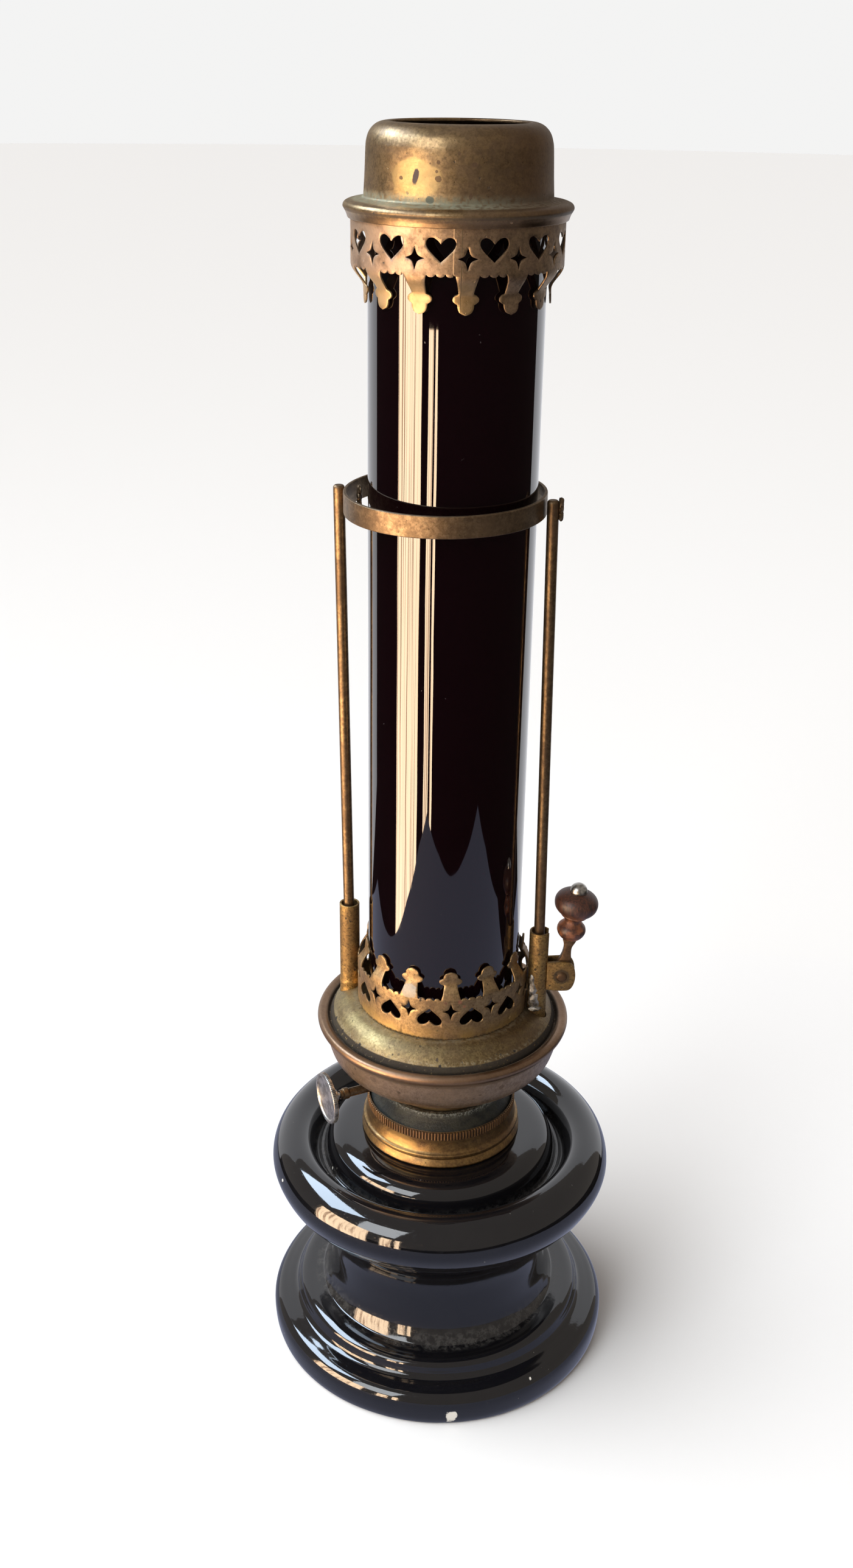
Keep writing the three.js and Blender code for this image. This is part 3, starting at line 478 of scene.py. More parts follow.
class Finish:
    """A procedural material whose patterns run in millimetres over the lamp."""

    def __init__(self, name):
        self.material = bpy.data.materials.new(name)
        self.material.use_nodes = True
        self.tree = self.material.node_tree
        self.tree.nodes.clear()
        output = self.tree.nodes.new("ShaderNodeOutputMaterial")
        self.shader = self.tree.nodes.new("ShaderNodeBsdfPrincipled")
        self.tree.links.new(self.shader.outputs[0], output.inputs[0])
        spot = self.node("ShaderNodeTexCoord", out="Object")
        self.at = self.node("ShaderNodeVectorMath", {"operation": "SCALE"},
                            {"Vector": spot, "Scale": 1 / MM})
        split = self.node("ShaderNodeSeparateXYZ", inputs={"Vector": self.at}, out=None)
        self.x, self.y, self.z = (Sock(self, split.outputs[i]) for i in range(3))
        self.r = self.maths("SQRT", self.x * self.x + self.y * self.y) + 0.001
        self.turn = self.maths("ARCTAN2", self.x, 0 - self.y) * (180 / math.pi)

    def node(self, kind, settings=None, inputs=None, out=0):
        """Adds a node and returns one of its outputs as a Sock, or the node if out is None."""
        given = {k: v.socket if isinstance(v, Sock) else v for k, v in (inputs or {}).items()}
        made = add_node(self.tree, kind, settings, given)
        return made if out is None else Sock(self, made.outputs[out])

    def maths(self, operation, *values):
        return self.node("ShaderNodeMath", {"operation": operation}, dict(enumerate(values)))

    def step(self, value, low, high):
        """0 below low and 1 above high, smooth between; low may be the larger."""
        return self.node("ShaderNodeMapRange", {"interpolation_type": "SMOOTHSTEP"},
                         {"Value": value, "From Min": low, "From Max": high})

    def most(self, a, b):
        return self.maths("MAXIMUM", a, b)

    def least(self, a, b):
        return self.maths("MINIMUM", a, b)

    def colour(self, mask, low, high):
        """One colour where the mask is 0, and another where it is 1."""
        def full(c):
            return c if isinstance(c, Sock) else (*c, 1)
        return self.node("ShaderNodeMix", {"data_type": "RGBA"},
                         {0: mask, 6: full(low), 7: full(high)}, out=2)

    def stretched(self, x, y, z):
        return self.node("ShaderNodeVectorMath", {"operation": "MULTIPLY"},
                         {0: self.at, 1: (x, y, z)})

    def noise(self, size, detail=4, rough=0.55, at=None, warp=0.0):
        """Cloudy noise from 0 to 1 whose patches are about size millimetres."""
        return self.node("ShaderNodeTexNoise", {},
                         {"Vector": at or self.at, "Scale": 1 / size, "Detail": detail,
                          "Roughness": rough, "Distortion": warp})

    def spun(self, size, along=3.0):
        """Fine lines round the axis, as turning and polishing leave them."""
        way = self.node("ShaderNodeCombineXYZ", {},
                        {0: self.x / self.r * along, 1: self.y / self.r * along,
                         2: (self.z + self.r) / size})
        return self.noise(1.0, detail=3, rough=0.6, at=way)

    def specks(self, spacing, share, size, offset=0.0):
        """Small uneven spots: a share of the cells of that spacing hold one."""
        warped = self.node("ShaderNodeVectorMath", {"operation": "ADD"},
                           {0: self.at, 1: self.node("ShaderNodeVectorMath",
                                                      {"operation": "SCALE"},
                                                      {"Vector": self.noise_colour(spacing / 3),
                                                       "Scale": spacing * 0.35})})
        moved = self.node("ShaderNodeVectorMath", {"operation": "ADD"},
                          {0: warped, 1: (offset, -offset, offset * 0.7)})
        cells = self.node("ShaderNodeTexVoronoi", {}, {"Vector": moved, "Scale": 1 / spacing},
                          out=None)
        pick = self.node("ShaderNodeSeparateColor", {},
                         {"Color": Sock(self, cells.outputs["Color"])}, out=None)
        chosen = self.step(Sock(self, pick.outputs[0]), 1 - share, 1 - share + 0.02)
        extent = (Sock(self, pick.outputs[1]) * 0.7 + 0.3) * size
        return self.step(Sock(self, cells.outputs["Distance"]) / extent, 1.15, 0.75) * chosen

    def noise_colour(self, size):
        return self.node("ShaderNodeTexNoise", {}, {"Vector": self.at, "Scale": 1 / size},
                         out="Color")

    def mark(self, turn, height, radius, wide, high, ragged=0.5):
        """A single patch at an angle from -Y towards +X and a height."""
        across = (self.turn - turn) * (math.pi / 180 * radius / wide)
        up = (self.z - height) / high
        away = self.maths("SQRT", across * across + up * up)
        shaped = away + (self.noise(min(wide, high), 3) - 0.5) * ragged * 2
        return self.step(shaped, 1.05, 0.8)

    def bump(self, height, depth):
        """Adds relief of that depth in millimetres."""
        before = self.shader.inputs["Normal"]
        values = {"Height": height, "Strength": 1.0, "Distance": depth * MM}
        if before.is_linked:
            values["Normal"] = Sock(self, before.links[0].from_socket)
        raised = self.node("ShaderNodeBump", {}, values)
        self.tree.links.new(raised.socket, before)

    def set(self, **values):
        """Sets the shader's sockets, named in words joined by underscores."""
        names = {s.name.lower().replace(" ", "_"): s for s in self.shader.inputs}
        for key, value in values.items():
            if isinstance(value, Sock):
                self.tree.links.new(value.socket, names[key])
            elif isinstance(value, tuple) and len(value) == 3:
                names[key].default_value = (*value, 1)
            else:
                names[key].default_value = value


def brass(name, bright, brown, dark, dull=0.5, pits=0.25, rough=0.34, grain=1.0, extras=None):
    """Aged brass: bright metal under brown patina, darker clouds, spots, and turning lines."""
    f = Finish(name)
    broad = f.noise(24, 3, warp=0.5)
    cloud = f.noise(6, 5, 0.66)
    mottle = f.noise(2.2, 5, 0.68)
    fine = f.noise(0.8, 4, 0.62)
    lines = f.spun(1.4)
    film = f.step(broad * 0.42 + cloud * 0.3 + mottle * 0.16 + lines * 0.12, 0.57, 0.43)
    tarnish = f.step(cloud * 0.5 + mottle * 0.5, 0.54, 0.68) * dull
    spots = f.specks(3.6, pits * 1.5, 0.16)
    freckles = f.specks(1.5, pits * 1.2, 0.2, offset=31)
    tone = f.colour(film, bright, brown)
    tone = f.colour(tarnish, tone, dark)
    tone = f.colour(f.step(mottle, 0.58, 0.40) * 0.45, tone, tuple(c * 0.62 for c in brown))
    tone = f.colour(f.step(fine, 0.44, 0.70) * 0.45 * grain, tone, dark)
    tone = f.colour(f.most(spots, freckles * 0.6) * 0.85, tone, tuple(c * 0.3 for c in dark))
    state = {"tone": tone, "rough": cloud * 0.2 + mottle * 0.14 + fine * 0.1 + film * 0.08 + rough - 0.18,
             "metal": 1 - film * 0.2 - tarnish * 0.35, "spots": spots}
    if extras:
        extras(f, state)
    f.set(base_color=state["tone"], roughness=state["rough"] + spots * 0.2,
          metallic=f.most(state["metal"] - spots * 0.5, 0.1))
    f.bump(fine, 0.035 * grain)
    f.bump(mottle, 0.04)
    f.bump(lines, 0.025)
    f.bump(0 - spots - freckles * 0.5, 0.06)
    return f.material


def tinge(f, state, mask, tint):
    """Tints a brass finish where the mask says."""
    state["tone"] = f.colour(mask, state["tone"], tint)


def cover(f, state, mask, tint, rough, metal):
    """Lays another finish over a brass one where the mask says."""
    tinge(f, state, mask, tint)
    state["rough"] = state["rough"] + mask * (rough - 0.35)
    state["metal"] = state["metal"] * (1 - mask * (1 - metal))


OLIVE = (0.072, 0.050, 0.024)
VERDIGRIS = (0.22, 0.235, 0.165)


def cap_extras(f, state):
    # Painted reflection: a warm yellow patch on the front-left of the dome, in place of the cream light
    # at the front-left mirrored there.
    warm = f.mark(-27, 473.5, 31, 9.5, 6.5, 0.35)
    tinge(f, state, warm * 0.42, (0.62, 0.44, 0.18))
    crease = f.step(f.z, 470, 466.6) * f.step(f.r, 36.6, 34.0)
    powder = crease * f.step(f.noise(1.6, 5, 0.7), 0.34, 0.56)
    cover(f, state, powder * 0.7, VERDIGRIS, 0.75, 0.25)
    tilted = f.maths("SINE", (f.z - 474) * 0.12) * 3
    across = (f.turn + 26 - tilted) * 0.54 / 1.15
    up = (f.z - 474.2) / 2.6
    away = f.maths("SQRT", across * across + up * up) + (f.noise(1.4, 3) - 0.5) * 0.5
    big = f.step(away, 1.05, 0.75)
    cover(f, state, big, (0.045, 0.032, 0.030), 0.45, 0.5)
    for turn, z, w, h in ((-12, 473.8, 1.0, 1.0), (-13, 475.9, .5, .5), (-12, 478.6, .7, .6),
                          (-17, 478.2, .3, .3), (0, 481.2, .5, .6), (9, 478.1, .9, .8),
                          (7, 468.9, .6, 1.1), (-36, 473.6, .8, .6)):
        cover(f, state, f.mark(turn, z, 31, w, h, 0.5) * 0.85, (0.09, 0.05, 0.025), 0.5, 0.6)
    cover(f, state, f.mark(-16.5, 467.6, 31.4, 1.5, 1.2, 0.3) * 0.85, (0.10, 0.11, 0.08), 0.6, 0.3)
    shade = f.step(f.turn, -6, 50) * 0.75
    tinge(f, state, shade, (0.105, 0.060, 0.034))
    # Painted shade: a dark band on the flange just below its widest edge.
    gap_shade = f.step(f.z, 463.6, 463.1) * f.step(f.z, 462.1, 462.6) * f.step(f.r, 36.6, 37.2)
    cover(f, state, gap_shade * 0.7, (0.03, 0.02, 0.012), 0.6, 0.4)
    roll = f.step(f.z, 462.2, 461.6) * f.step(f.r, 35.9, 36.2)
    tinge(f, state, roll * 0.5, (0.20, 0.125, 0.075))


def upper_extras(f, state):
    top = f.step(f.z, 460.6, 461.6) * f.step(f.noise(3, 4), 0.34, 0.5) * f.step(f.turn, 10, -14)
    cover(f, state, top * 0.9, (0.58, 0.17, 0.06), 0.5, 0.7)
    pale = f.step(f.turn, 6, -28) * f.step(f.noise(6, 3), 0.3, 0.6)
    tinge(f, state, pale * 0.5, (0.50, 0.36, 0.26))
    tips = f.step(f.z, 446, 441) * f.step(f.turn, 40, 0)
    tinge(f, state, tips * 0.5, (0.55, 0.38, 0.16))
    seam = (f.step(f.turn, -2.1, -1.9) * f.step(f.turn, -1.5, -1.7)
            + f.step(f.turn, 1.9, 2.1) * f.step(f.turn, 2.5, 2.3))
    tinge(f, state, seam * 0.7, (0.62, 0.45, 0.28))
    lap = f.step(f.turn, -2.2, -1.9) * f.step(f.turn, 2.4, 2.1) * f.step(f.y, 0, -1)
    f.bump(lap, 0.5)


def lower_extras(f, state):
    silver = f.mark(-22.5, 181.6, 33, 2.8, 3.0, 0.6)
    cover(f, state, silver * 0.6, (0.36, 0.34, 0.30), 0.6, 0.9)
    low = f.step(f.z, 169, 162.5) * f.step(f.noise(8, 3), 0.3, 0.6)
    tinge(f, state, low * 0.6, (0.55, 0.36, 0.12))
    for turn, z, w in ((11, 178.6, .9), (14, 176.5, .7), (2, 178.4, .5), (19, 171, .6)):
        cover(f, state, f.mark(turn, z, 34, w, w, 0.4) * 0.8, (0.16, 0.05, 0.03), 0.6, 0.3)
    foot = f.step(f.z, 162.9, 162.0) * f.step(f.noise(1.2, 4), 0.35, 0.55)
    cover(f, state, foot * 0.8, (0.03, 0.02, 0.012), 0.7, 0.3)


def plate_extras(f, state):
    olive = f.step(f.turn, 10, -50) * f.step(f.noise(9, 4), 0.3, 0.6)
    tinge(f, state, olive * 0.3, (0.24, 0.195, 0.085))
    # Painted shade: the right side of the plate, away from the light, is tinted darker brown.
    brown = f.step(f.turn, 5, 50) * f.step(f.turn, 150, 120)
    tinge(f, state, brown * 0.45, (0.10, 0.058, 0.032))
    # Painted shade: a near-black ring in the gap between the plate's edge and the bowl's rim, broken by
    # noise.
    gap_shade = f.step(f.r, 44.0, 44.35) * f.step(f.noise(1.4, 4), 0.25, 0.4)
    cover(f, state, gap_shade * 0.92, (0.012, 0.009, 0.007), 0.8, 0.1)
    seat = f.step(f.r, 37.8, 35.2) * f.step(f.noise(1.3, 5, 0.7), 0.38, 0.6)
    cover(f, state, seat * 0.4, (0.30, 0.26, 0.18), 0.6, 0.5)
    dust = f.step(f.r, 42.6, 43.8) * f.step(f.r, 44.3, 43.9) * f.step(f.noise(1.1, 5, 0.7), 0.46, 0.62)
    cover(f, state, dust * 0.45, (0.27, 0.25, 0.18), 0.85, 0.1)
    soot = f.step(f.r, 41.5, 43.6) * f.specks(2.6, 0.5, 0.34, offset=7)
    cover(f, state, soot, (0.02, 0.017, 0.014), 0.7, 0.2)
    pits = f.step(f.r, 35, 36) * f.specks(5.0, 0.4, 0.16, offset=19)
    cover(f, state, pits * 0.9, (0.03, 0.02, 0.015), 0.7, 0.2)


def bowl_extras(f, state):
    rim = f.step(f.z, 150.2, 151.4) * f.step(f.r, 46, 47)
    cover(f, state, rim * 0.75, (0.20, 0.115, 0.065), 0.25, 1.0)
    # Painted shade: near-black in the crease between the rim and the gallery plate, broken by noise.
    crease = f.step(f.r, 47.6, 46.4) * f.step(f.z, 151, 152)
    cover(f, state, crease * f.step(f.noise(1, 4), 0.25, 0.42) * 0.9, (0.022, 0.017, 0.012), 0.8, 0.1)
    # Painted shade: a dark band just under the rolled rim.
    under = f.step(f.z, 150.6, 149.6) * f.step(f.z, 147.6, 148.8)
    cover(f, state, under * 0.6, (0.05, 0.03, 0.018), 0.6, 0.5)
    neck = f.step(f.z, 131, 129.4) * f.step(f.r, 26.5, 25.2)
    cover(f, state, neck * 0.6, (0.32, 0.22, 0.085), 0.35, 1.0)
    stains = f.mark(-34, 146.2, 47, 1.5, 1.5, 0.3)
    for turn, z, w in ((12, 142.6, .8), (16, 141.8, .5), (19, 143.4, .6), (-16, 135.8, .9),
                       (30, 145.0, 1.3), (-48, 143.0, 0.8)):
        stains = f.most(stains, f.mark(turn, z, 46, w, w, 0.5))
    cover(f, state, stains * 0.7, (0.09, 0.055, 0.035), 0.5, 0.6)


def collar_extras(f, state):
    # Painted shade: dark colour in the recesses between the knurl's ribs.
    between = f.step(f.r, 30.5, 30.2) * f.step(f.z, 110.4, 110.9) * f.step(f.z, 115.0, 114.4)
    cover(f, state, between * 0.9, (0.035, 0.020, 0.011), 0.6, 0.5)
    # Painted highlight: lighter copper on the crests of the knurl's ribs.
    crest_highlight = f.step(f.r, 30.45, 30.6) * f.step(f.z, 110.4, 110.9)
    tinge(f, state, crest_highlight * 0.6, (0.42, 0.235, 0.12))
    # Painted sheen: a lighter gold patch on the front-left of the bell.
    gold_sheen = f.mark(-32, 105, 32, 9, 6, 0.4)
    tinge(f, state, gold_sheen * 0.35, (0.48, 0.31, 0.10))


def sleeve_extras(f, state):
    etched = f.step(f.noise(0.8, 4, 0.7), 0.54, 0.64)
    cover(f, state, etched * 0.6, (0.10, 0.058, 0.022), 0.6, 0.6)
    across, up = f.x - PIVOT_X, f.z - PIVOT_Z
    away = f.maths("SQRT", across * across + up * up)
    ring = f.step(away, 3.6, 2.9) * f.step(away, 1.9, 2.2)
    cover(f, state, ring * 0.8, (0.03, 0.018, 0.01), 0.6, 0.4)


STEP_DUST = 0.02


def glaze(name):
    """Thick black glaze with hairline scratches, dust in the grooves and a chip in the foot."""
    f = Finish(name)
    smear = f.noise(9, 5, 0.6)
    hair = f.noise(1.0, 4, 0.7, at=f.stretched(0.5, 0.5, 3.5), warp=1.2)
    lint = f.step(f.noise(0.7, 4, 0.7), 0.66, 0.72)
    groove = f.step(f.r, 54.5, 51.8) * f.step(f.r, 46.5, 48.6) * f.step(f.z, 92, 87)
    inner_step = f.step(f.z, 24.5, 21.5) * f.step(f.z, 14.6, 15.2) * f.step(f.r, 63.2, 62.2)
    dirt = f.most(groove, inner_step * STEP_DUST) * f.step(f.noise(2.6, 5, 0.7), 0.42, 0.62)
    loose = f.specks(3.2, 0.22, 0.10) * 0.8
    dust = f.most(dirt * 0.10, f.most(loose * 0.5, lint * 0.06) * f.step(smear, 0.42, 0.62))
    chip = f.mark(5.5, 5.0, 71.6, 2.4, 3.2, 0.75)
    for turn, z, r, w in ((-66, 88, 70, .7), (2, 62, 51, .5), (34, 13, 70, .5)):
        chip = f.most(chip, f.mark(turn, z, r, w, w, 0.6))
    tone = f.colour(smear, (0.0025, 0.0025, 0.004), (0.007, 0.0065, 0.007))
    tone = f.colour(dust, tone, (0.36, 0.34, 0.31))
    tone = f.colour(chip, tone, (0.80, 0.76, 0.68))
    f.set(base_color=tone, roughness=smear * 0.05 + dust * 0.6 + chip * 0.5 + 0.035,
          coat_weight=0.5 - f.least(dust + chip, 0.5), coat_roughness=0.03, ior=1.52)
    f.bump(smear, 0.05)
    f.bump(f.step(hair, 0.62, 0.7) * -1, 0.004)
    f.bump(chip * -1, 0.25)
    return f.material


def ruby(name):
    """Ruby glass, almost black unlit, with drawn ripples, smears and a little dust."""
    f = Finish(name)
    ripple = f.noise(14, 2, 0.5, at=f.stretched(1, 1, 0.16))
    smear = f.noise(11, 5, 0.65)
    dust = f.specks(4.5, 0.3, 0.07) * 0.5
    f.set(base_color=f.colour(dust * 0.5, (0.0045, 0.0008, 0.0016), (0.2, 0.17, 0.16)),
          roughness=f.step(smear, 0.55, 0.8) * 0.05 + dust * 0.3 + 0.02, ior=1.6,
          transmission_weight=0.12, coat_weight=0.5, coat_roughness=0.02)
    f.bump(ripple, 0.10)
    return f.material


def wood(name):
    """Turned hardwood under worn polish: dark red-brown, with a painted orange highlight on its lower
    part.
    """
    f = Finish(name)
    grain = f.noise(1.0, 5, 0.65, at=f.stretched(1.5, 1.5, 0.22), warp=0.8)
    pores = f.step(f.noise(0.5, 3, 0.6, at=f.stretched(1.4, 1.4, 0.18)), 0.6, 0.66)
    # Painted highlight: orange patches over the knob's lower part.
    lower_highlight = f.step(f.noise(4, 3), 0.40, 0.58) * f.step(f.z, 209, 203)
    tone = f.colour(f.step(grain, 0.35, 0.65), (0.016, 0.0055, 0.003), (0.085, 0.026, 0.012))
    tone = f.colour(lower_highlight * 0.6, tone, (0.34, 0.105, 0.032))
    tone = f.colour(pores * 0.8, tone, (0.008, 0.004, 0.003))
    f.set(base_color=tone, roughness=grain * 0.2 + pores * 0.2 + 0.38, coat_weight=0.12,
          coat_roughness=0.3)
    f.bump(grain * -0.5 - pores, 0.06)
    return f.material


def nickel(name, tint=(0.56, 0.54, 0.50)):
    """Worn bright metal under a grey film, with brown freckles."""
    f = Finish(name)
    film = f.noise(3.0, 5, 0.65)
    scuff = f.noise(0.6, 4, 0.7)
    rust = f.specks(2.0, 0.4, 0.25)
    tone = f.colour(f.step(film, 0.4, 0.62), tint, tuple(c * 0.42 for c in tint))
    tone = f.colour(rust * 0.8, tone, (0.10, 0.06, 0.04))
    f.set(base_color=tone, roughness=film * 0.3 + scuff * 0.12 + 0.14, metallic=1 - rust * 0.6)
    f.bump(scuff, 0.05)
    return f.material


def dark_brass(name):
    """Brass gone green-black and granular in the heat, with silvery crumbs at its top."""
    f = Finish(name)
    crumb = f.noise(0.8, 5, 0.75)
    green = f.noise(5, 4)
    tone = f.colour(f.step(green, 0.42, 0.6), (0.006, 0.008, 0.006), (0.022, 0.022, 0.014))
    ring = f.step(f.z, 117.6, 119.4) * f.step(f.r, 22.8, 23.8) * f.step(crumb, 0.45, 0.6)
    tone = f.colour(ring * 0.6, tone, (0.34, 0.35, 0.30))
    f.set(base_color=tone, roughness=crumb * 0.3 + 0.42, metallic=f.step(crumb, 0.3, 0.7) * 0.3)
    f.bump(crumb, 0.25)
    return f.material


def solder(name):
    """Old soft solder: grey, lumpy and dull."""
    f = Finish(name)
    lump = f.noise(1.5, 5, 0.65)
    tone = f.colour(f.step(lump, 0.38, 0.62), (0.17, 0.15, 0.12), (0.42, 0.41, 0.38))
    f.set(base_color=tone, roughness=lump * 0.25 + 0.3, metallic=0.9)
    f.bump(lump, 0.3)
    return f.material


def leather(name):
    """An oil-soaked washer."""
    f = Finish(name)
    fibre = f.noise(0.7, 5, 0.7)
    f.set(base_color=f.colour(fibre, (0.10, 0.055, 0.028), (0.30, 0.19, 0.10)), roughness=0.8)
    f.bump(fibre, 0.15)
    return f.material


def cotton(name):
    """Flat woven wick: ribs along it, picks across it, charred at the top and oily below."""
    f = Finish(name)
    rib = f.maths("SINE", (f.x * 0.9 + f.y * 0.44) * 4.2) * 0.5 + 0.5
    pick = f.maths("SINE", f.z * 5.0) * 0.5 + 0.5
    char = f.step(f.z + (f.noise(2, 3) - 0.5) * 4, 154, 158.5)
    tone = f.colour(rib * pick, (0.42, 0.36, 0.26), (0.74, 0.68, 0.56))
    tone = f.colour(char, tone, (0.012, 0.010, 0.009))
    f.set(base_color=tone, roughness=0.95)
    f.bump(rib + pick, 0.2)
    return f.material


FINISH = {
    "cap": brass("cap_brass", (0.37, 0.25, 0.125), (0.215, 0.14, 0.075), OLIVE, 0.4, 0.2, 0.29,
                 extras=cap_extras),
    "upper": brass("upper_coronet_brass", (0.37, 0.255, 0.155), (0.225, 0.145, 0.09), OLIVE, 0.45,
                   0.3, 0.42, extras=upper_extras),
    "lower": brass("lower_coronet_brass", (0.42, 0.29, 0.145), (0.25, 0.16, 0.085), OLIVE, 0.45,
                   0.4, 0.42, extras=lower_extras),
    "plate": brass("plate_brass", (0.33, 0.245, 0.115), (0.185, 0.127, 0.062), OLIVE, 0.55, 0.55,
                   0.38, 1.4, extras=plate_extras),
    "bowl": brass("bowl_copper_brass", (0.46, 0.335, 0.225), (0.31, 0.215, 0.14),
                  (0.13, 0.08, 0.048), 0.35, 0.3, 0.36, extras=bowl_extras),
    "collar": brass("collar_brass", (0.33, 0.205, 0.08), (0.165, 0.095, 0.043), OLIVE, 0.6, 0.35,
                    0.32, extras=collar_extras),
    "sleeve": brass("sleeve_brass", (0.42, 0.28, 0.105), (0.24, 0.145, 0.055), OLIVE, 0.55, 0.55,
                    0.45, 1.7, extras=sleeve_extras),
    "rod": brass("rod_brass", (0.27, 0.18, 0.095), (0.14, 0.085, 0.045), OLIVE, 0.55, 0.35, 0.36),
    "guard": brass("guard_ring_brass", (0.25, 0.175, 0.105), (0.14, 0.09, 0.05), OLIVE, 0.5, 0.35,
                   0.38),
    "lever": brass("lever_brass", (0.25, 0.15, 0.08), (0.12, 0.068, 0.035), OLIVE, 0.55, 0.35,
                   0.42),
    "inner": brass("inner_brass", (0.20, 0.135, 0.06), (0.09, 0.06, 0.03), (0.02, 0.017, 0.013),
                   0.8, 0.4, 0.5),
    "glaze": glaze("black_glaze"),
    "ruby": ruby("ruby_glass"),
    "wood": wood("turned_wood"),
    "nickel": nickel("worn_nickel"),
    "dark": dark_brass("tarnished_base"),
    "solder": solder("old_solder"),
    "leather": leather("oily_washer"),
    "cotton": cotton("woven_wick"),
}

# ---------------------------------------------------------------- foot, font and collar
FULL_ROUND = 168
FOOT_OUTLINE = [
    (62.5, 0, 0.5), (70.6, 0, 1.2), (71.6, 4.0), (71.6, 10.0), (69.4, 13.4), (66.0, 14.6),
    (62.6, 15.4, 0.7), (61.3, 16.6), (60.6, 18.2), (59.6, 20.6), (57.0, 21.8), (53.6, 21.9),
    (50.4, 21.8, 0.8), (48.2, 25.2), (46.4, 30), (45.3, 38), (45.0, 46), (46.4, 55),
    (50.6, 63.2), (60.4, 69.5, 0.5), (39.2, 69.5, 0.4), (39.6, 48, 1), (41.0, 28, 2),
    (47.0, 16.5, 2), (62.5, 8, 2),
]
FONT_OUTLINE = [
    (0, 62.5, 0), (38, 62.5, 0.6), (38, 69.7, 0.4), (60.6, 69.7, 0.5), (63.8, 71.9), (68.0, 77.0),
    (70.6, 84.0), (69.4, 90.2), (65.8, 94.8), (61.0, 96.9), (56.6, 95.9), (53.0, 91.6),
    (50.4, 86.4, 0.9), (48.6, 86.6, 0.7), (47.3, 92.0), (45.0, 96.0), (41.0, 98.0), (34.4, 98.55),
    (27.8, 98.6, 0.3), (27.8, 103.6, 0.6), (22.6, 103.6, 0.6), (22.6, 95, 1), (40.0, 92.0, 3),
    (44.6, 81.6, 2), (60.5, 84.5, 2), (64.6, 82.0, 2), (58, 75.4, 2), (0, 74.5, 0),
]
COLLAR_OUTLINE = [
    (28.1, 98.9, 0.2), (32.5, 98.9, 0.3), (33.0, 99.7, 0.4), (32.2, 101.2), (31.4, 102.4, 0.3),
    (32.4, 103.2, 0.3), (32.4, 104.5, 0.4), (31.4, 105.2), (30.9, 106.2), (30.35, 108.5),
    (30.2, 110.4, 0.15), (30.2, 114.5, 0.25), (29.9, 114.8, 0.15), (29.6, 112.0, 0.1),
    (25.0, 112.0, 0.2), (25.0, 103.9, 0.2), (28.1, 103.9, 0.2),
]
BASE_OUTLINE = [
    (24.7, 104.5, 0.2), (24.7, 112.8, 0.2), (29.3, 112.8, 0.25), (29.3, 113.7, 0.3),
    (28.4, 114.8), (26.4, 116.9), (25.2, 118.6), (24.7, 119.8, 0.3), (20.6, 119.8, 0.2),
    (23.1, 116.6, 0.3), (23.1, 104.5, 0.2),
]


def turned(points, segments=FULL_ROUND, depth=0.0, size=30, seed=0.0):
    shape = Shape().lathe(outline(points), segments)
    return wobble(shape, depth, size, seed) if depth else shape


piece("foot_shell", turned(FOOT_OUTLINE, depth=0.22, seed=3), [FINISH["glaze"]], "stand",
      ["pedestal_foot"])
piece("font_shell", turned(FONT_OUTLINE, depth=0.22, seed=8), [FINISH["glaze"]], "stand",
      ["oil_font"])


class Nodes:
    """Adds and links the nodes of a Geometry Nodes tree with a geometry input and output."""

    def __init__(self, name, inputs):
        self.tree = bpy.data.node_groups.new(name, "GeometryNodeTree")
        for way in ("INPUT", "OUTPUT"):
            self.tree.interface.new_socket("Geometry", in_out=way, socket_type="NodeSocketGeometry")
        for label, (kind, value) in inputs.items():
            made = self.tree.interface.new_socket(label, in_out="INPUT", socket_type=kind)
            made.default_value = value
        self.inputs = self.tree.nodes.new("NodeGroupInput")
        self.output = self.tree.nodes.new("NodeGroupOutput")

    def __call__(self, kind, settings=None, inputs=None, out=0):
        made = add_node(self.tree, kind, settings, inputs)
        return made if out is None else made.outputs[out]

    def given(self, label):
        return self.inputs.outputs[label]

    def math(self, operation, *values):
        return self("ShaderNodeMath", {"operation": operation}, dict(enumerate(values)))

    def finish(self, result, material):
        real = self("GeometryNodeRealizeInstances", {}, {"Geometry": result})
        done = self("GeometryNodeSetMaterial", {}, {"Geometry": real, "Material": material})
        self.tree.links.new(done, self.output.inputs[0])

    def run(self, data):
        """Runs the tree on a mesh and returns the plain mesh it makes."""
        holder = add_object("holder", data)
        modifier = holder.modifiers.new("nodes", "NODES")
        modifier.node_group = self.tree
        made = bake(holder)
        bpy.data.objects.remove(holder)
        return made


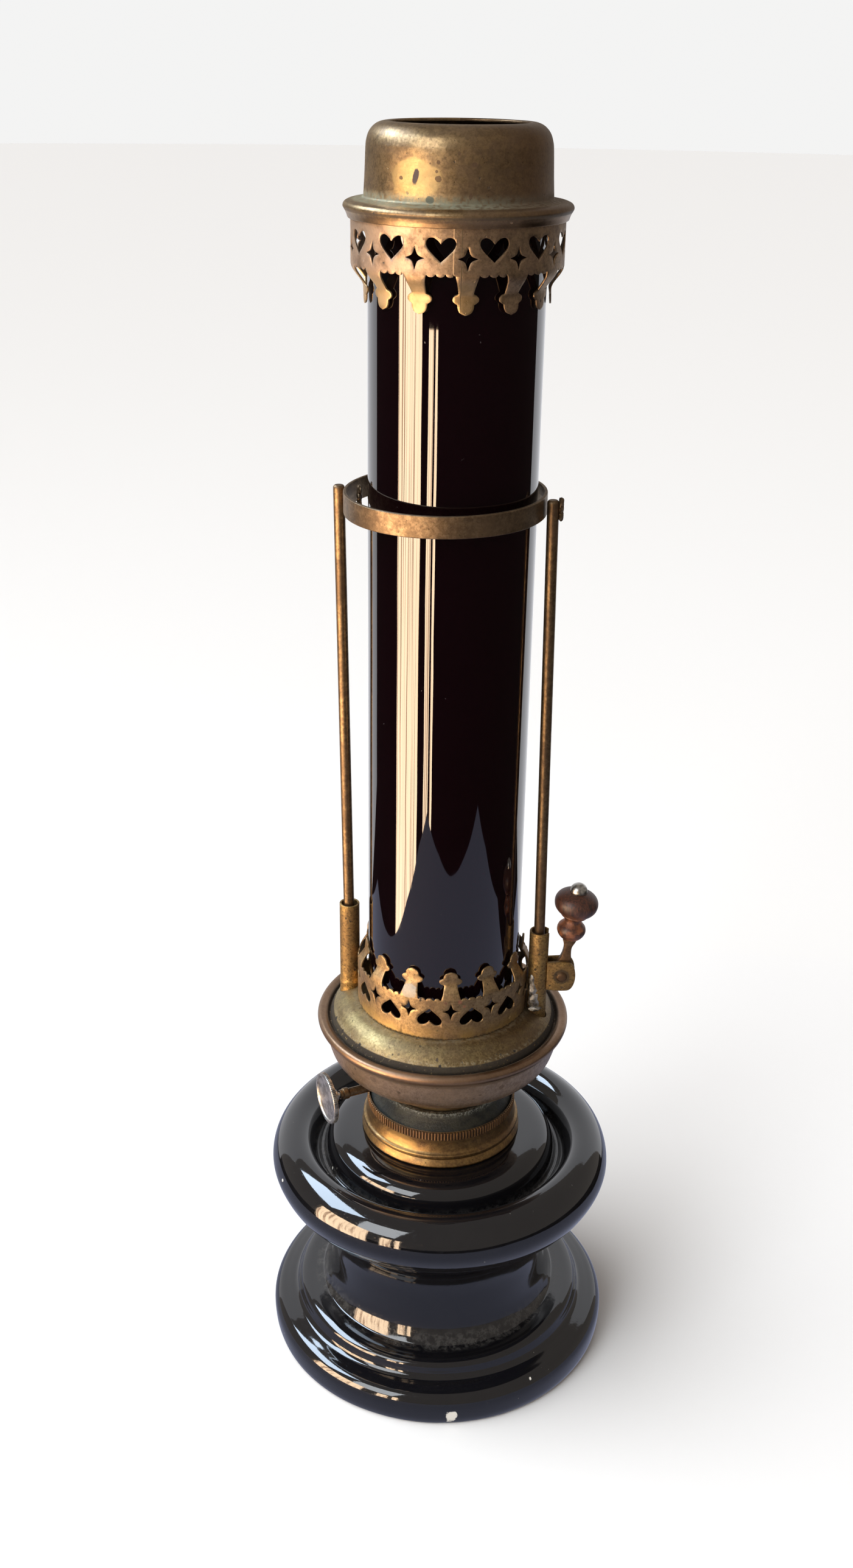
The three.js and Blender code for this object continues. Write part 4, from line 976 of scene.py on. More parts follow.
def ribs_round(name, count, radius, low, high, depth, material):
    """Fine upright ribs round the axis, one small wedge copied by Geometry Nodes."""
    width = 2 * math.pi * radius / count
    middle = (low + high) / 2
    half = (high - low) / 2
    foot, flank = width * 0.42, width * 0.25
    line = [(-foot, 0), (-flank, depth * 0.8), (0, depth), (flank, depth * 0.8), (foot, 0)]
    spots = []
    for z, shrink in ((-half, 0.3), (-half + 0.25, 1), (half - 0.25, 1), (half, 0.3)):
        spots.extend((x, y * shrink, z) for x, y in [(-foot, -0.2), *line, (foot, -0.2)])
    per = len(line) + 2
    faces = bands(4, per)
    faces.append(list(range(per)))
    faces.append([3 * per + i for i in reversed(range(per))])
    rib = smooth_mesh(Shape().add(spots, faces), name + "_rib")
    nodes = Nodes(name, {"Count": ("NodeSocketInt", count),
                         "Radius": ("NodeSocketFloat", radius * MM),
                         "Height": ("NodeSocketFloat", middle * MM)})
    ring = nodes("GeometryNodeMeshCircle", {"fill_type": "NONE"},
                 {"Vertices": nodes.given("Count"), "Radius": nodes.given("Radius")})
    away = nodes("GeometryNodeInputPosition")
    facing = nodes("FunctionNodeAlignRotationToVector", {"axis": "Y"}, {"Vector": away})
    copies = nodes("GeometryNodeInstanceOnPoints", {},
                   {"Points": ring, "Instance": nodes.inputs.outputs[0], "Rotation": facing})
    lift = nodes("ShaderNodeCombineXYZ", {}, {2: nodes.given("Height")})
    raised = nodes("GeometryNodeTranslateInstances", {},
                   {"Instances": copies, "Translation": lift, "Local Space": False})
    nodes.finish(raised, material)
    return nodes.run(rib)


def join(name, meshes):
    """One mesh made of several, in order, with their finishes kept."""
    things = [add_object(f"part_{i}", m) for i, m in enumerate(meshes)]
    work = bmesh.new()
    finishes = []
    for thing in things:
        base = len(finishes)
        held = bmesh.new()
        held.from_mesh(thing.data)
        for face in held.faces:
            face.material_index += base
        temp = bpy.data.meshes.new("temp")
        held.to_mesh(temp)
        held.free()
        work.from_mesh(temp)
        bpy.data.meshes.remove(temp)
        finishes.extend(thing.data.materials[:] or [None])
    data = bpy.data.meshes.new(name)
    work.to_mesh(data)
    work.free()
    for thing in things:
        bpy.data.objects.remove(thing)
    return data, finishes


def painted(shape, name, *materials):
    data = shape.mesh(name)
    for material in materials:
        data.materials.append(material)
    return data


def piece_of(name, meshes, body, nodes, sharp_deg=38):
    """A piece made of several meshes, each with its own finish."""
    data, finishes = join(name, meshes)
    unique = []
    index = []
    for m in finishes:
        if m not in unique:
            unique.append(m)
        index.append(unique.index(m))
    for face in data.polygons:
        face.material_index = index[face.material_index]
    return piece(name, data, unique, body, nodes, sharp_deg)


KNURL_RIBS = 150
knurl = ribs_round("knurl", KNURL_RIBS, 30.1, 110.9, 114.6, 0.62, FINISH["collar"])
piece_of("threaded_collar", [painted(turned(COLLAR_OUTLINE, depth=0.05), "collar", FINISH["collar"]),
                             knurl], "stand", ["collar"])
piece("washer", turned([(25.3, 112, .1), (29.2, 112, .1), (29.2, 112.8, .1), (25.3, 112.8, .1)], 96),
      [FINISH["leather"]], "burner_seat", ["gasket"])
piece("burner_plug", turned(BASE_OUTLINE, depth=0.1, size=6), [FINISH["dark"]], "burner",
      ["burner_base"])

# ---------------------------------------------------------------- bowl and gallery plate
BOWL_OUTLINE = [
    (22.6, 119.8, 0.3), (23.6, 121.6), (24.0, 124.6), (23.7, 127.2), (23.6, 129.6, 0.6),
    (25.2, 130.8, 0.8), (30.5, 131.5), (36.0, 132.4), (40.0, 133.9), (42.9, 136.0), (45.0, 138.4),
    (46.2, 141.6), (47.2, 145.6), (48.0, 149.0, 1.0), (49.6, 150.6, 0.6), (50.6, 152.0),
    (50.7, 153.4), (49.8, 154.5), (48.2, 154.6), (46.6, 153.9, 0.4), (46.1, 152.5, 0.2),
    (44.1, 152.5, 0.2), (44.1, 151.2, 0.2), (46.9, 149.4, 0.6), (45.7, 143.4), (44.9, 140.6),
    (42.2, 137.2), (36.8, 134.0), (30.0, 132.6), (25.0, 132.0, 0.4), (22.2, 130.9, 0.6),
    (21.9, 125.0), (21.4, 119.8, 0.2),
]
PLATE_OUTLINE = [
    (26.8, 161.7, 0.2), (26.8, 160.8, 0.2), (31.5, 160.8), (36.4, 160.3), (40.6, 158.1),
    (43.2, 155.4), (44.2, 153.8, 0.4), (44.2, 152.6, 0.2), (45.4, 152.6, 0.2), (45.4, 153.9, 0.5),
    (44.2, 155.9), (41.4, 158.9), (38.6, 160.6), (35.4, 161.5), (32.0, 161.7),
]


def upright_rod(radius, low, high, at, matrix=None, segments=40):
    """A plain round bar to cut with."""
    move = Matrix.Translation((at[0], at[1], 0))
    line = [(0, low), (radius, low), (radius, high), (0, high)]
    return Shape().lathe([np.array(p, float) for p in line], segments,
                         (matrix or Matrix.Identity(4)) @ move)


SPINDLE = Matrix(
    (
        (math.cos(math.radians(SPINDLE_DEG)), 0, -math.sin(math.radians(SPINDLE_DEG)), 0),
        (-math.sin(math.radians(SPINDLE_DEG)), 0, -math.cos(math.radians(SPINDLE_DEG)), 0),
        (0, 1, 0, SPINDLE_Z),
        (0, 0, 0, 1),
    )
)
SPINDLE.translation = SPINDLE @ Vector((SPINDLE_OFFSET, 0, 0))

AIR_HOLES = 8
AIR_HOLE_R = 2.4
AIR_RING_R = 30.5
SPINDLE_HOLE_R = 1.95
SLEEVE_HOLE_R = 4.12

holes = []
for i in range(AIR_HOLES):
    spot = polar(AIR_RING_R, (i + 0.25) * 360 / AIR_HOLES)
    holes.append(upright_rod(AIR_HOLE_R, 126, 137, spot, segments=20))
holes.append(upright_rod(SPINDLE_HOLE_R, 15, 30, (0, 0), SPINDLE, segments=24))
bowl = cut(smooth_mesh(turned(BOWL_OUTLINE, 144, depth=0.12, seed=5), "bowl"), holes)
piece("bowl_shell", bowl, [FINISH["bowl"]], "burner", ["burner_bowl"], 32)

holes = [upright_rod(SLEEVE_HOLE_R, 148, 166, spot) for spot in (LEFT_SPOT, RIGHT_SPOT)]
plate = cut(smooth_mesh(turned(PLATE_OUTLINE, 144, depth=0.12, seed=6), "plate"), holes)
piece("gallery_dome", plate, [FINISH["plate"]], "gallery", ["gallery_plate"], 32)

# ---------------------------------------------------------------- rods, guard ring, sockets
for side, spot, top in (("left", LEFT_SPOT, LEFT_ROD_TOP), ("right", RIGHT_SPOT, RIGHT_ROD_TOP)):
    line = outline([(0, ROD_FOOT, 0), (ROD_R, ROD_FOOT, 0.2), (ROD_R, top - 0.6, 0.5),
                    (ROD_R - 0.5, top, 0.3), (0, top, 0)])
    bar = Shape().lathe(subdivided(line, 6), 36, LEAN @ Matrix.Translation((*spot, 0)))
    piece(f"{side}_guide_rod", bar, [FINISH["rod"]], "burner", [f"{side}_rod"])

guard_line = outline([
    (GUARD_R - GUARD_SHEET, GUARD_Z, 0.3), (GUARD_R, GUARD_Z, 0.4),
    (GUARD_R, GUARD_Z + GUARD_HEIGHT, 0.4), (GUARD_R - GUARD_SHEET, GUARD_Z + GUARD_HEIGHT, 0.3),
])
guard = wobble(Shape().lathe(guard_line, 144, LEAN), 0.25, 22, 4)
joints = Shape()
for spot, z, seed in ((LEFT_SPOT, GUARD_Z + 3.2, 2.0), (RIGHT_SPOT, GUARD_Z + 3.4, 5.0)):
    inward = Vector((spot[0], spot[1], 0)).normalized() * (GUARD_R + 0.15)
    for up in (-2.2, 0.4, 2.4):
        joints.add(*blob((inward.x, inward.y, z + up), (1.0, 2.0, 1.9), LEAN, seed + up))
piece_of("guard_band", [painted(guard, "guard", FINISH["guard"]),
                        painted(joints, "guard_joints", FINISH["guard"])],
         "burner", ["guard_ring"])

# ---------------------------------------------------------------- sleeves and ears
left_line = outline([
    (SLEEVE_BORE_R, SLEEVE_FOOT, 0.2), (SLEEVE_R, SLEEVE_FOOT, 0.2), (SLEEVE_R, 161.8, 0.1),
    (SLEEVE_R + 0.25, 163.6, 0.3), (SLEEVE_R, 165.2, 0.2), (SLEEVE_R, LEFT_SLEEVE_TOP, 0.25),
    (SLEEVE_BORE_R, LEFT_SLEEVE_TOP, 0.2),
])
left_tube = wobble(Shape().lathe(left_line, 56, Matrix.Translation((*LEFT_SPOT, 0))), 0.1, 5, 2)
piece("left_slider", left_tube, [FINISH["sleeve"]], "gallery", ["left_sleeve"])


def split_ring(outer, inner, slit, steps):
    """A ring outline seen from above, open by a slit that faces +X."""
    line = []
    for radius, order in ((outer, 1), (inner, -1)):
        start = math.asin(slit / 2 / radius)
        angles = np.linspace(start, 2 * math.pi - start, steps)[::order]
        line.extend(np.array((radius * math.cos(a), radius * math.sin(a))) for a in angles)
    return line


right_tube = Shape().slab(
    split_ring(SLEEVE_R, SLEEVE_BORE_R, EAR_GAP, 48),
    RIGHT_SLEEVE_TOP - SLEEVE_FOOT,
    Matrix.Translation((*RIGHT_SPOT, (RIGHT_SLEEVE_TOP + SLEEVE_FOOT) / 2)),
)
UPRIGHT = Matrix(((1, 0, 0, 0), (0, 0, 1, 0), (0, 1, 0, 0), (0, 0, 0, 1)))
ear_line = outline([
    (RIGHT_SPOT[0] + 3.3, PIVOT_Z - 6.2, 0.2), (46.0, PIVOT_Z - 6.6, 1.5), (50.0, PIVOT_Z - 6.0),
    (51.9, PIVOT_Z - 2.6), (52.0, PIVOT_Z + 2.4), (50.2, PIVOT_Z + 6.0), (46.2, PIVOT_Z + 6.6, 1.2),
    (RIGHT_SPOT[0] + 3.3, PIVOT_Z + 6.2, 0.2),
])
for side in (-1, 1):
    middle = EAR_Y + side * (EAR_GAP + EAR_SHEET) / 2
    right_tube.slab(ear_line, EAR_SHEET, Matrix.Translation((0, middle, 0)) @ UPRIGHT)
right_blobs = Shape()
for at, radii, seed in (
    ((36.3, -11.9, 166.4), (2.2, 1.2, 3.8), 1), ((35.8, -11.7, 171.2), (1.9, 1.1, 3.2), 4),
    ((36.6, -12.1, 163.0), (2.6, 1.5, 1.2), 7), ((35.4, -11.4, 175.4), (1.3, 0.9, 2.4), 9),
):
    right_blobs.add(*blob(at, radii, None, seed))
piece_of("right_slider", [painted(right_tube, "right_tube", FINISH["sleeve"]),
                          painted(right_blobs, "right_solder", FINISH["solder"])],
         "gallery", ["right_sleeve"])

PIVOT = Matrix.Translation((PIVOT_X, EAR_Y, PIVOT_Z)) @ Matrix.Rotation(math.pi / 2, 4, "X")
head = EAR_GAP / 2 + EAR_SHEET + 0.02
rivet_line = outline([
    (0, -head - 1.05, 0), (1.5, -head - 0.85), (2.3, -head, 0.15), (1.3, -head, 0.1),
    (1.3, head, 0.1), (2.3, head, 0.15), (1.5, head + 0.85), (0, head + 1.05, 0),
])
piece("pivot_rivet", Shape().lathe(rivet_line, 32, PIVOT), [FINISH["lever"]], "gallery",
      ["lever_rivet"])

# ---------------------------------------------------------------- clamp lever and handle
nose = RIGHT_SPOT[0] + ROD_R + 0.15
lever_line = outline([
    (nose, PIVOT_Z - 0.4, 0.3), (PIVOT_X - 4.4, PIVOT_Z - 3.4), (PIVOT_X - 1.6, PIVOT_Z - 4.8),
    (PIVOT_X + 1.8, PIVOT_Z - 4.4), (PIVOT_X + 4.0, PIVOT_Z - 2.0), (PIVOT_X + 4.4, PIVOT_Z + 1.8),
    (PIVOT_X + 3.9, PIVOT_Z + 5.6), (PIVOT_X + 3.45, PIVOT_Z + 9.0), (PIVOT_X + 3.6, PIVOT_Z + 12.2),
    (PIVOT_X + 4.7, PIVOT_Z + 14.4), (HANDLE_X + 2.75, HANDLE_Z - 0.3, 0.4),
    (HANDLE_X - 2.7, HANDLE_Z + 0.2, 0.4), (PIVOT_X + 0.35, PIVOT_Z + 14.2),
    (PIVOT_X + 0.5, PIVOT_Z + 11.6), (PIVOT_X - 0.4, PIVOT_Z + 8.2), (PIVOT_X - 2.3, PIVOT_Z + 5.2),
    (PIVOT_X - 5.0, PIVOT_Z + 2.8), (nose, PIVOT_Z + 1.8, 0.3),
])
HANDLE = Matrix.Translation((HANDLE_X, EAR_Y, HANDLE_Z)) @ Matrix.Rotation(HANDLE_LEAN, 4, "Y")
blade = Shape().slab(lever_line, LEVER_SHEET, Matrix.Translation((0, EAR_Y, 0)) @ UPRIGHT)
lever = cut(smooth_mesh(blade, "lever"), [upright_rod(RIVET_HOLE_R, -5, 5, (0, 0), PIVOT, 32)])
piece("lever_blade", lever, [FINISH["lever"]], "lever", ["clamp_lever"])

handle_line = outline([
    (1.65, 0.3, 0.1), (2.9, 0.3, 0.3), (4.2, 1.2), (5.2, 2.6), (5.65, 4.2), (5.3, 5.8), (4.3, 7.0),
    (3.7, 7.7, 0.25), (3.45, 8.4), (3.6, 9.4, 0.25), (4.2, 9.9), (5.2, 10.7), (5.3, 11.5, 0.25),
    (6.6, 12.2), (8.0, 13.9), (8.5, 15.8), (8.3, 17.6), (7.2, 19.3), (5.2, 20.5), (3.4, 21.0, 0.3),
    (1.65, 21.0, 0.1),
])
piece("knob", Shape().lathe(handle_line, 72, HANDLE), [FINISH["wood"]], "lever",
      ["wooden_handle"])
tip_line = outline([(0, 20.6, 0), (3.3, 20.6, 0.2), (3.4, 21.6), (3.0, 22.9), (2.1, 23.9),
                    (0.9, 24.45), (0, 24.5, 0)])
piece("knob_rivet", wobble(Shape().lathe(tip_line, 40, HANDLE), 0.12, 2), [FINISH["nickel"]],
      "lever", ["handle_rivet_cap"])


# ---------------------------------------------------------------- coronets
HEART = [(0, 13.4, 0.15), (1.9, 11.7), (3.7, 9.9), (4.4, 8.3), (3.7, 6.9), (2.2, 6.7), (0.8, 7.5),
         (0, 8.4, 0.1), (-0.8, 7.5), (-2.2, 6.7), (-3.7, 6.9), (-4.4, 8.3), (-3.7, 9.9),
         (-1.9, 11.7)]
LOZENGE = [(0, 9.4, 0.08), (0.55, 11.2), (1.2, 12.0), (2.75, 12.6, 0.08), (1.2, 13.2),
           (0.55, 14.0), (0, 15.8, 0.08), (-0.55, 14.0), (-1.2, 13.2), (-2.75, 12.6, 0.08),
           (-1.2, 12.0), (-0.55, 11.2)]
PRONG = [(0.0, 3.9), (0.22, 3.15), (0.44, 2.75), (0.49, 2.9), (0.53, 4.0), (0.59, 4.75),
         (0.66, 4.7), (0.71, 3.9), (0.745, 3.1), (0.8, 3.0), (0.88, 2.65), (0.95, 1.8), (1.0, 0.0)]
NOTCH_SPACING = 3.2
SCALLOP = 1.0
SEAM_U = -3.2
PRONG_HALF = 3.9
HEART_MIDDLE = 9.8
HEART_GROWTH = 1.1
LOZENGE_MIDDLE = 12.6
LOZENGE_WIDTH = 1.22
LOZENGE_GROWTH = 1.12


def motif_edges(pitch, reach):
    """The outline of one pitch of a coronet laid flat, and its two holes."""
    left = [*[(SEAM_U, h) for h in (0.0, 5.0, 10.0, 14.2)], (-4.0, 15.8), (-4.7, 16.9)]
    right = [(u + pitch, h) for u, h in left]
    top = []
    stops = [pitch - PRONG_HALF, pitch / 2 + NOTCH_SPACING / 2, pitch / 2 - NOTCH_SPACING / 2,
             PRONG_HALF]
    for a, b in zip(stops, stops[1:]):
        for t in np.linspace(0.0 if a != stops[0] else 0.25, 1, 8):
            top.append((a + (b - a) * t, BAND_HEIGHT - 0.2 + SCALLOP * (4 * t * (1 - t)) ** 0.6))
    spots = outline([(h, s) for s, h in PRONG], steps=4, closed=False)
    up = [(u, BAND_HEIGHT + s * reach) for u, s in spots]
    down = [(-u, h) for u, h in reversed(up)]
    notch = [(-4.3, BAND_HEIGHT + 0.35)]
    ring = [*[(u, 0.0) for u in np.linspace(SEAM_U, pitch + SEAM_U, 12)], *right[1:], *top[:-1],
            *up, *down[1:], *notch, *reversed(left[1:])]
    heart = [(x * HEART_GROWTH + pitch / 2, HEART_MIDDLE + (y - HEART_MIDDLE) * HEART_GROWTH)
             for x, y in outline(HEART, steps=4)]
    diamond = [(x * LOZENGE_WIDTH, LOZENGE_MIDDLE + (y - LOZENGE_MIDDLE) * LOZENGE_GROWTH)
               for x, y in outline(LOZENGE, steps=4)]
    clean = []
    for p in ring:
        if not clean or math.dist(p, clean[-1]) > 0.02:
            clean.append(tuple(p))
    return clean, heart, diamond


def inside(spot, loop):
    """Whether a point lies within a closed flat outline."""
    found = False
    for i, a in enumerate(loop):
        b = loop[i - 1]
        if (a[1] > spot.y) != (b[1] > spot.y):
            crossing = a[0] + (spot.y - a[1]) / (b[1] - a[1]) * (b[0] - a[0])
            if spot.x < crossing:
                found = not found
    return found


def motif(pitch, reach):
    """One pitch of a coronet as a flat mesh: u along x, h along z."""
    loops = motif_edges(pitch, reach)
    spots, edges = [], []
    for loop in loops:
        start = len(spots)
        spots.extend(Vector(p) for p in loop)
        edges.extend((start + i, start + (i + 1) % len(loop)) for i in range(len(loop)))
    rim = np.array([tuple(p) for p in spots])
    for u in np.arange(-4.5, pitch, 0.95):
        for h in np.arange(0.8, BAND_HEIGHT + reach, 0.95):
            if np.min(np.hypot(rim[:, 0] - u, rim[:, 1] - h)) > 0.45:
                spots.append(Vector((u, h)))
    made, _, faces, *_ = geometry.delaunay_2d_cdt(spots, edges, [], 1, 1e-5)
    kept = []
    for face in faces:
        centre = sum((made[i] for i in face), Vector((0, 0))) / len(face)
        if inside(centre, loops[0]) and not any(inside(centre, hole) for hole in loops[1:]):
            kept.append(face)
    shape = Shape().add([(p.x, 0, p.y) for p in made], kept)
    data = shape.mesh("motif")
    work = bmesh.new()
    work.from_mesh(data)
    loose = [v for v in work.verts if not v.link_faces]
    bmesh.ops.delete(work, geom=loose, context="VERTS")
    work.to_mesh(data)
    work.free()
    return data


def coronet_mesh(name, strip_r, base, direction, reach, material, seed):
    """Copies the motif round the strip and bends the prongs in to the glass."""
    pitch = 2 * math.pi * strip_r / PITCHES
    nodes = Nodes(name, {
        "Pitches": ("NodeSocketInt", PITCHES), "Pitch": ("NodeSocketFloat", pitch * MM),
        "Strip Radius": ("NodeSocketFloat", (strip_r - STRIP_SHEET / 2) * MM),
        "Grip Radius": ("NodeSocketFloat", GRIP_R * MM),
        "Band Height": ("NodeSocketFloat", BAND_HEIGHT * MM),
        "Reach": ("NodeSocketFloat", reach * MM), "Base": ("NodeSocketFloat", base * MM),
        "Direction": ("NodeSocketFloat", float(direction)), "Seed": ("NodeSocketInt", seed),
        "Bend": ("NodeSocketFloat", 1.1 * MM),
    })
    step = nodes("ShaderNodeCombineXYZ", {}, {0: nodes.given("Pitch")})
    line = nodes("GeometryNodeMeshLine", {}, {"Count": nodes.given("Pitches"), "Offset": step})
    chance = nodes("FunctionNodeRandomValue", {"data_type": "FLOAT"}, {"Seed": nodes.given("Seed")},
                   out=1)
    marked = nodes("GeometryNodeStoreNamedAttribute", {"data_type": "FLOAT", "domain": "POINT"},
                   {"Geometry": line, "Name": "bend", "Value": chance})
    copies = nodes("GeometryNodeInstanceOnPoints", {},
                   {"Points": marked, "Instance": nodes.inputs.outputs[0]})
    real = nodes("GeometryNodeRealizeInstances", {}, {"Geometry": copies})
    split = nodes("ShaderNodeSeparateXYZ", {},
                  {"Vector": nodes("GeometryNodeInputPosition")}, out=None)
    u, h = split.outputs[0], split.outputs[2]
    mean_r = strip_r * MM
    angle = nodes.math("ADD", nodes.math("DIVIDE", u, mean_r), math.radians(MOTIF_DEG - 90))
    share = nodes.math("DIVIDE", nodes.math("SUBTRACT", h, nodes.given("Band Height")),
                       nodes.given("Reach"))
    lean = nodes("ShaderNodeMapRange", {"interpolation_type": "SMOOTHSTEP"},
                 {"Value": share, "From Min": 0.02, "From Max": 0.62})
    tip = nodes("ShaderNodeMapRange", {"interpolation_type": "SMOOTHSTEP"},
                {"Value": share, "From Min": 0.05, "From Max": 1.0})
    fall = nodes.math("SUBTRACT", nodes.given("Grip Radius"), nodes.given("Strip Radius"))
    bend = nodes("GeometryNodeInputNamedAttribute", {"data_type": "FLOAT"}, {"Name": "bend"})
    loose = nodes.math("MULTIPLY", nodes.math("POWER", bend, 4.0), nodes.given("Bend"))
    radius = nodes.math("ADD", nodes.math("ADD", nodes.given("Strip Radius"),
                                          nodes.math("MULTIPLY", fall, lean)),
                        nodes.math("MULTIPLY", loose, tip))
    place = nodes("ShaderNodeCombineXYZ", {}, {
        0: nodes.math("MULTIPLY", radius, nodes.math("COSINE", angle)),
        1: nodes.math("MULTIPLY", radius, nodes.math("SINE", angle)),
        2: nodes.math("ADD", nodes.given("Base"), nodes.math("MULTIPLY", h, nodes.given("Direction"))),
    })
    bent = nodes("GeometryNodeSetPosition", {}, {"Geometry": real, "Position": place})
    whole = nodes("GeometryNodeMergeByDistance", {}, {"Geometry": bent, "Distance": 0.02 * MM})
    nodes.finish(whole, material)
    flat = nodes.run(motif(pitch, reach))
    tidy(flat, merge=0.01 * MM)
    holder = add_object("strip", flat)
    thick = holder.modifiers.new("sheet", "SOLIDIFY")
    thick.thickness = STRIP_SHEET * MM
    thick.offset = 0
    edge = holder.modifiers.new("edge", "BEVEL")
    edge.width = 0.09 * MM
    edge.segments = 1
    edge.limit_method = "ANGLE"
    edge.angle_limit = math.radians(50)
    made = bake(holder)
    bpy.data.objects.remove(holder)
    return made


LOWER_STRIP_R = 34.4
LOWER_STRIP_FOOT = 161.8
LOWER_REACH = 11.2
UPPER_STRIP_R = 35.5
UPPER_STRIP_TOP = 463.4
UPPER_REACH = 12.9

lower = coronet_mesh("lower_strip", LOWER_STRIP_R, LOWER_STRIP_FOOT, 1, LOWER_REACH,
                     FINISH["lower"], 3)
piece("lower_crown", lower, [FINISH["lower"]], "gallery", ["lower_coronet"], 50)
upper = coronet_mesh("upper_strip", UPPER_STRIP_R, UPPER_STRIP_TOP, -1, UPPER_REACH,
                     FINISH["upper"], 5)
piece("upper_crown", upper, [FINISH["upper"]], "chimney_cap", ["upper_coronet"], 50)

# ---------------------------------------------------------------- glass and cap
glass_line = outline([
    (GLASS_R - GLASS_WALL, GLASS_FOOT, 0.8), (GLASS_R, GLASS_FOOT, 0.8), (GLASS_R, GLASS_TOP, 0.9),
    (GLASS_R - GLASS_WALL, GLASS_TOP, 0.9),
])
cylinder = wobble(Shape().lathe(subdivided(glass_line, 12, closed=True), 144), 0.1, 60, 2)
piece("glass_cylinder", cylinder, [FINISH["ruby"]], "glass", ["ruby_glass"])

CAP_OUTLINE = [
    (22.8, 488.2, 0.1), (22.8, 488.9, 0.2), (23.6, 489.2), (25.6, 488.9), (27.6, 487.9),
    (29.3, 486.0), (30.2, 483.4), (30.5, 480.6), (30.8, 473.0), (31.2, 466.2, 0.7),
    (33.6, 465.7), (36.2, 465.3, 0.5), (37.5, 464.6), (38.0, 463.4), (37.4, 462.2, 0.5),
    (36.9, 461.2), (36.4, 459.8, 0.2), (35.85, 459.8, 0.15), (35.85, 463.6, 0.3), (31.0, 463.6, 0.3),
    (30.5, 466.4, 0.4), (30.1, 473.0), (29.8, 481.0), (28.9, 485.2), (26.2, 487.6),
]
cap = wobble(turned(CAP_OUTLINE), 0.14, 16, 7, lambda p: 1 if p.z > 466 else 0.3)
piece("cap_shell", cap, [FINISH["cap"]], "chimney_cap", ["cap"])
baffle_line = outline([(0, 475, 0), (25.5, 475, 0.2), (25.5, 475.9, 0.3), (12, 477.2), (0, 477.6, 0)])
piece("baffle_disc", Shape().lathe(baffle_line, 96), [FINISH["dark"]], "chimney_cap",
      ["light_baffle"])

# ---------------------------------------------------------------- wick wheel
wheel_line = outline([
    (0, WHEEL_S + 0.75, 0), (4, WHEEL_S + 0.7), (8.6, WHEEL_S + 0.85, 0.2),
    (9.1, WHEEL_S + 1.5, 0.25), (WHEEL_R - 0.4, WHEEL_S + 1.4, 0.2),
    (WHEEL_R - 0.25, WHEEL_S - 0.4, 0.2), (8.8, WHEEL_S - 0.5, 0.2), (8.2, WHEEL_S - 0.2, 0.3),
    (2.6, WHEEL_S - 0.2, 0.3), (2.4, WHEEL_S - 3.6, 0.2), (1.25, WHEEL_S - 3.6, 0.1),
    (1.25, WHEEL_S - 0.3, 0.1), (0, WHEEL_S - 0.3, 0),
])
wheel = painted(Shape().lathe(wheel_line, 96), "wheel", FINISH["nickel"])
MILLING_RIBS = 84
milling = ribs_round("milling", MILLING_RIBS, WHEEL_R - 0.3, -0.85, 0.85, 0.28, FINISH["nickel"])
milling.transform(Matrix.Diagonal((MM, MM, MM, 1)) @ SPINDLE
                  @ Matrix.Translation((0, 0, WHEEL_S + 0.5)) @ Matrix.Scale(1 / MM, 4))
wheel.transform(Matrix.Diagonal((MM, MM, MM, 1)) @ SPINDLE @ Matrix.Scale(1 / MM, 4))
piece_of("milled_wheel", [wheel, milling], "wick_drive", ["wick_wheel"])
guide_line = outline([
    (1.45, 21.6, 0.1), (1.8, 21.6, 0.1), (1.8, 43.5, 0.1), (2.3, 44.0, 0.2), (2.3, 46.0, 0.2),
    (1.9, 46.4, 0.1), (1.9, 47.5, 0.1), (1.45, 47.5, 0.1),
])
piece("guide_tube", Shape().lathe(guide_line, 36, SPINDLE), [FINISH["rod"]], "burner",
      ["spindle_guide"])

# ---------------------------------------------------------------- inner nodes kept as they are
INNER = {
    "air_shield": "inner", "left_rod_socket": "inner", "right_rod_socket": "inner",
    "wick_tube": "inner", "flame_cone": "inner", "wick_spindle": "nickel",
    "spur_wheel_inner": "nickel", "spur_wheel_middle": "nickel", "spur_wheel_outer": "nickel",
    "wick": "cotton", "baffle_leg_1": "inner", "baffle_leg_2": "inner", "baffle_leg_3": "inner",
}
for node, finish in INNER.items():
    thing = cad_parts[node]
    thing.data.materials.clear()
    thing.data.materials.append(FINISH[finish])


# ---------------------------------------------------------------- stage
def plain(name, tint, rough=0.6, glow=None):
    """A uniform stage material; glow is the light it gives, red, green and blue."""
    material = bpy.data.materials.new(name)
    material.use_nodes = True
    shader = material.node_tree.nodes["Principled BSDF"]
    shader.inputs["Base Color"].default_value = (*tint, 1)
    shader.inputs["Roughness"].default_value = rough
    if glow:
        shader.inputs["Emission Color"].default_value = (*(c / max(glow) for c in glow), 1)
        shader.inputs["Emission Strength"].default_value = max(glow)
    return material


def glowing(name, light):
    """A black stage material that only gives light."""
    return plain(name, (0.0, 0.0, 0.0), 1.0, light)


def card(name, corners, material, camera=False, glossy=True, diffuse=False):
    """One flat sheet of the stage; by default only mirrored in the lamp."""
    data = bpy.data.meshes.new(name)
    data.from_pydata(corners, [], [list(range(len(corners)))])
    data.materials.append(material)
    thing = add_object(name, data)
    thing.visible_camera = camera
    thing.visible_glossy = glossy
    thing.visible_diffuse = diffuse
    thing.visible_transmission = camera
    thing.visible_shadow = diffuse


def level_square(half, z):
    return [(-half, -half, z), (half, -half, z), (half, half, z), (-half, half, z)]


FLOOR_HALF = 9
WALL_R = 8.8
WALL_HEIGHT = 6
WALL_CARDS = 48
CURTAIN_R = 0.85
CURTAIN_FOOT = -0.8

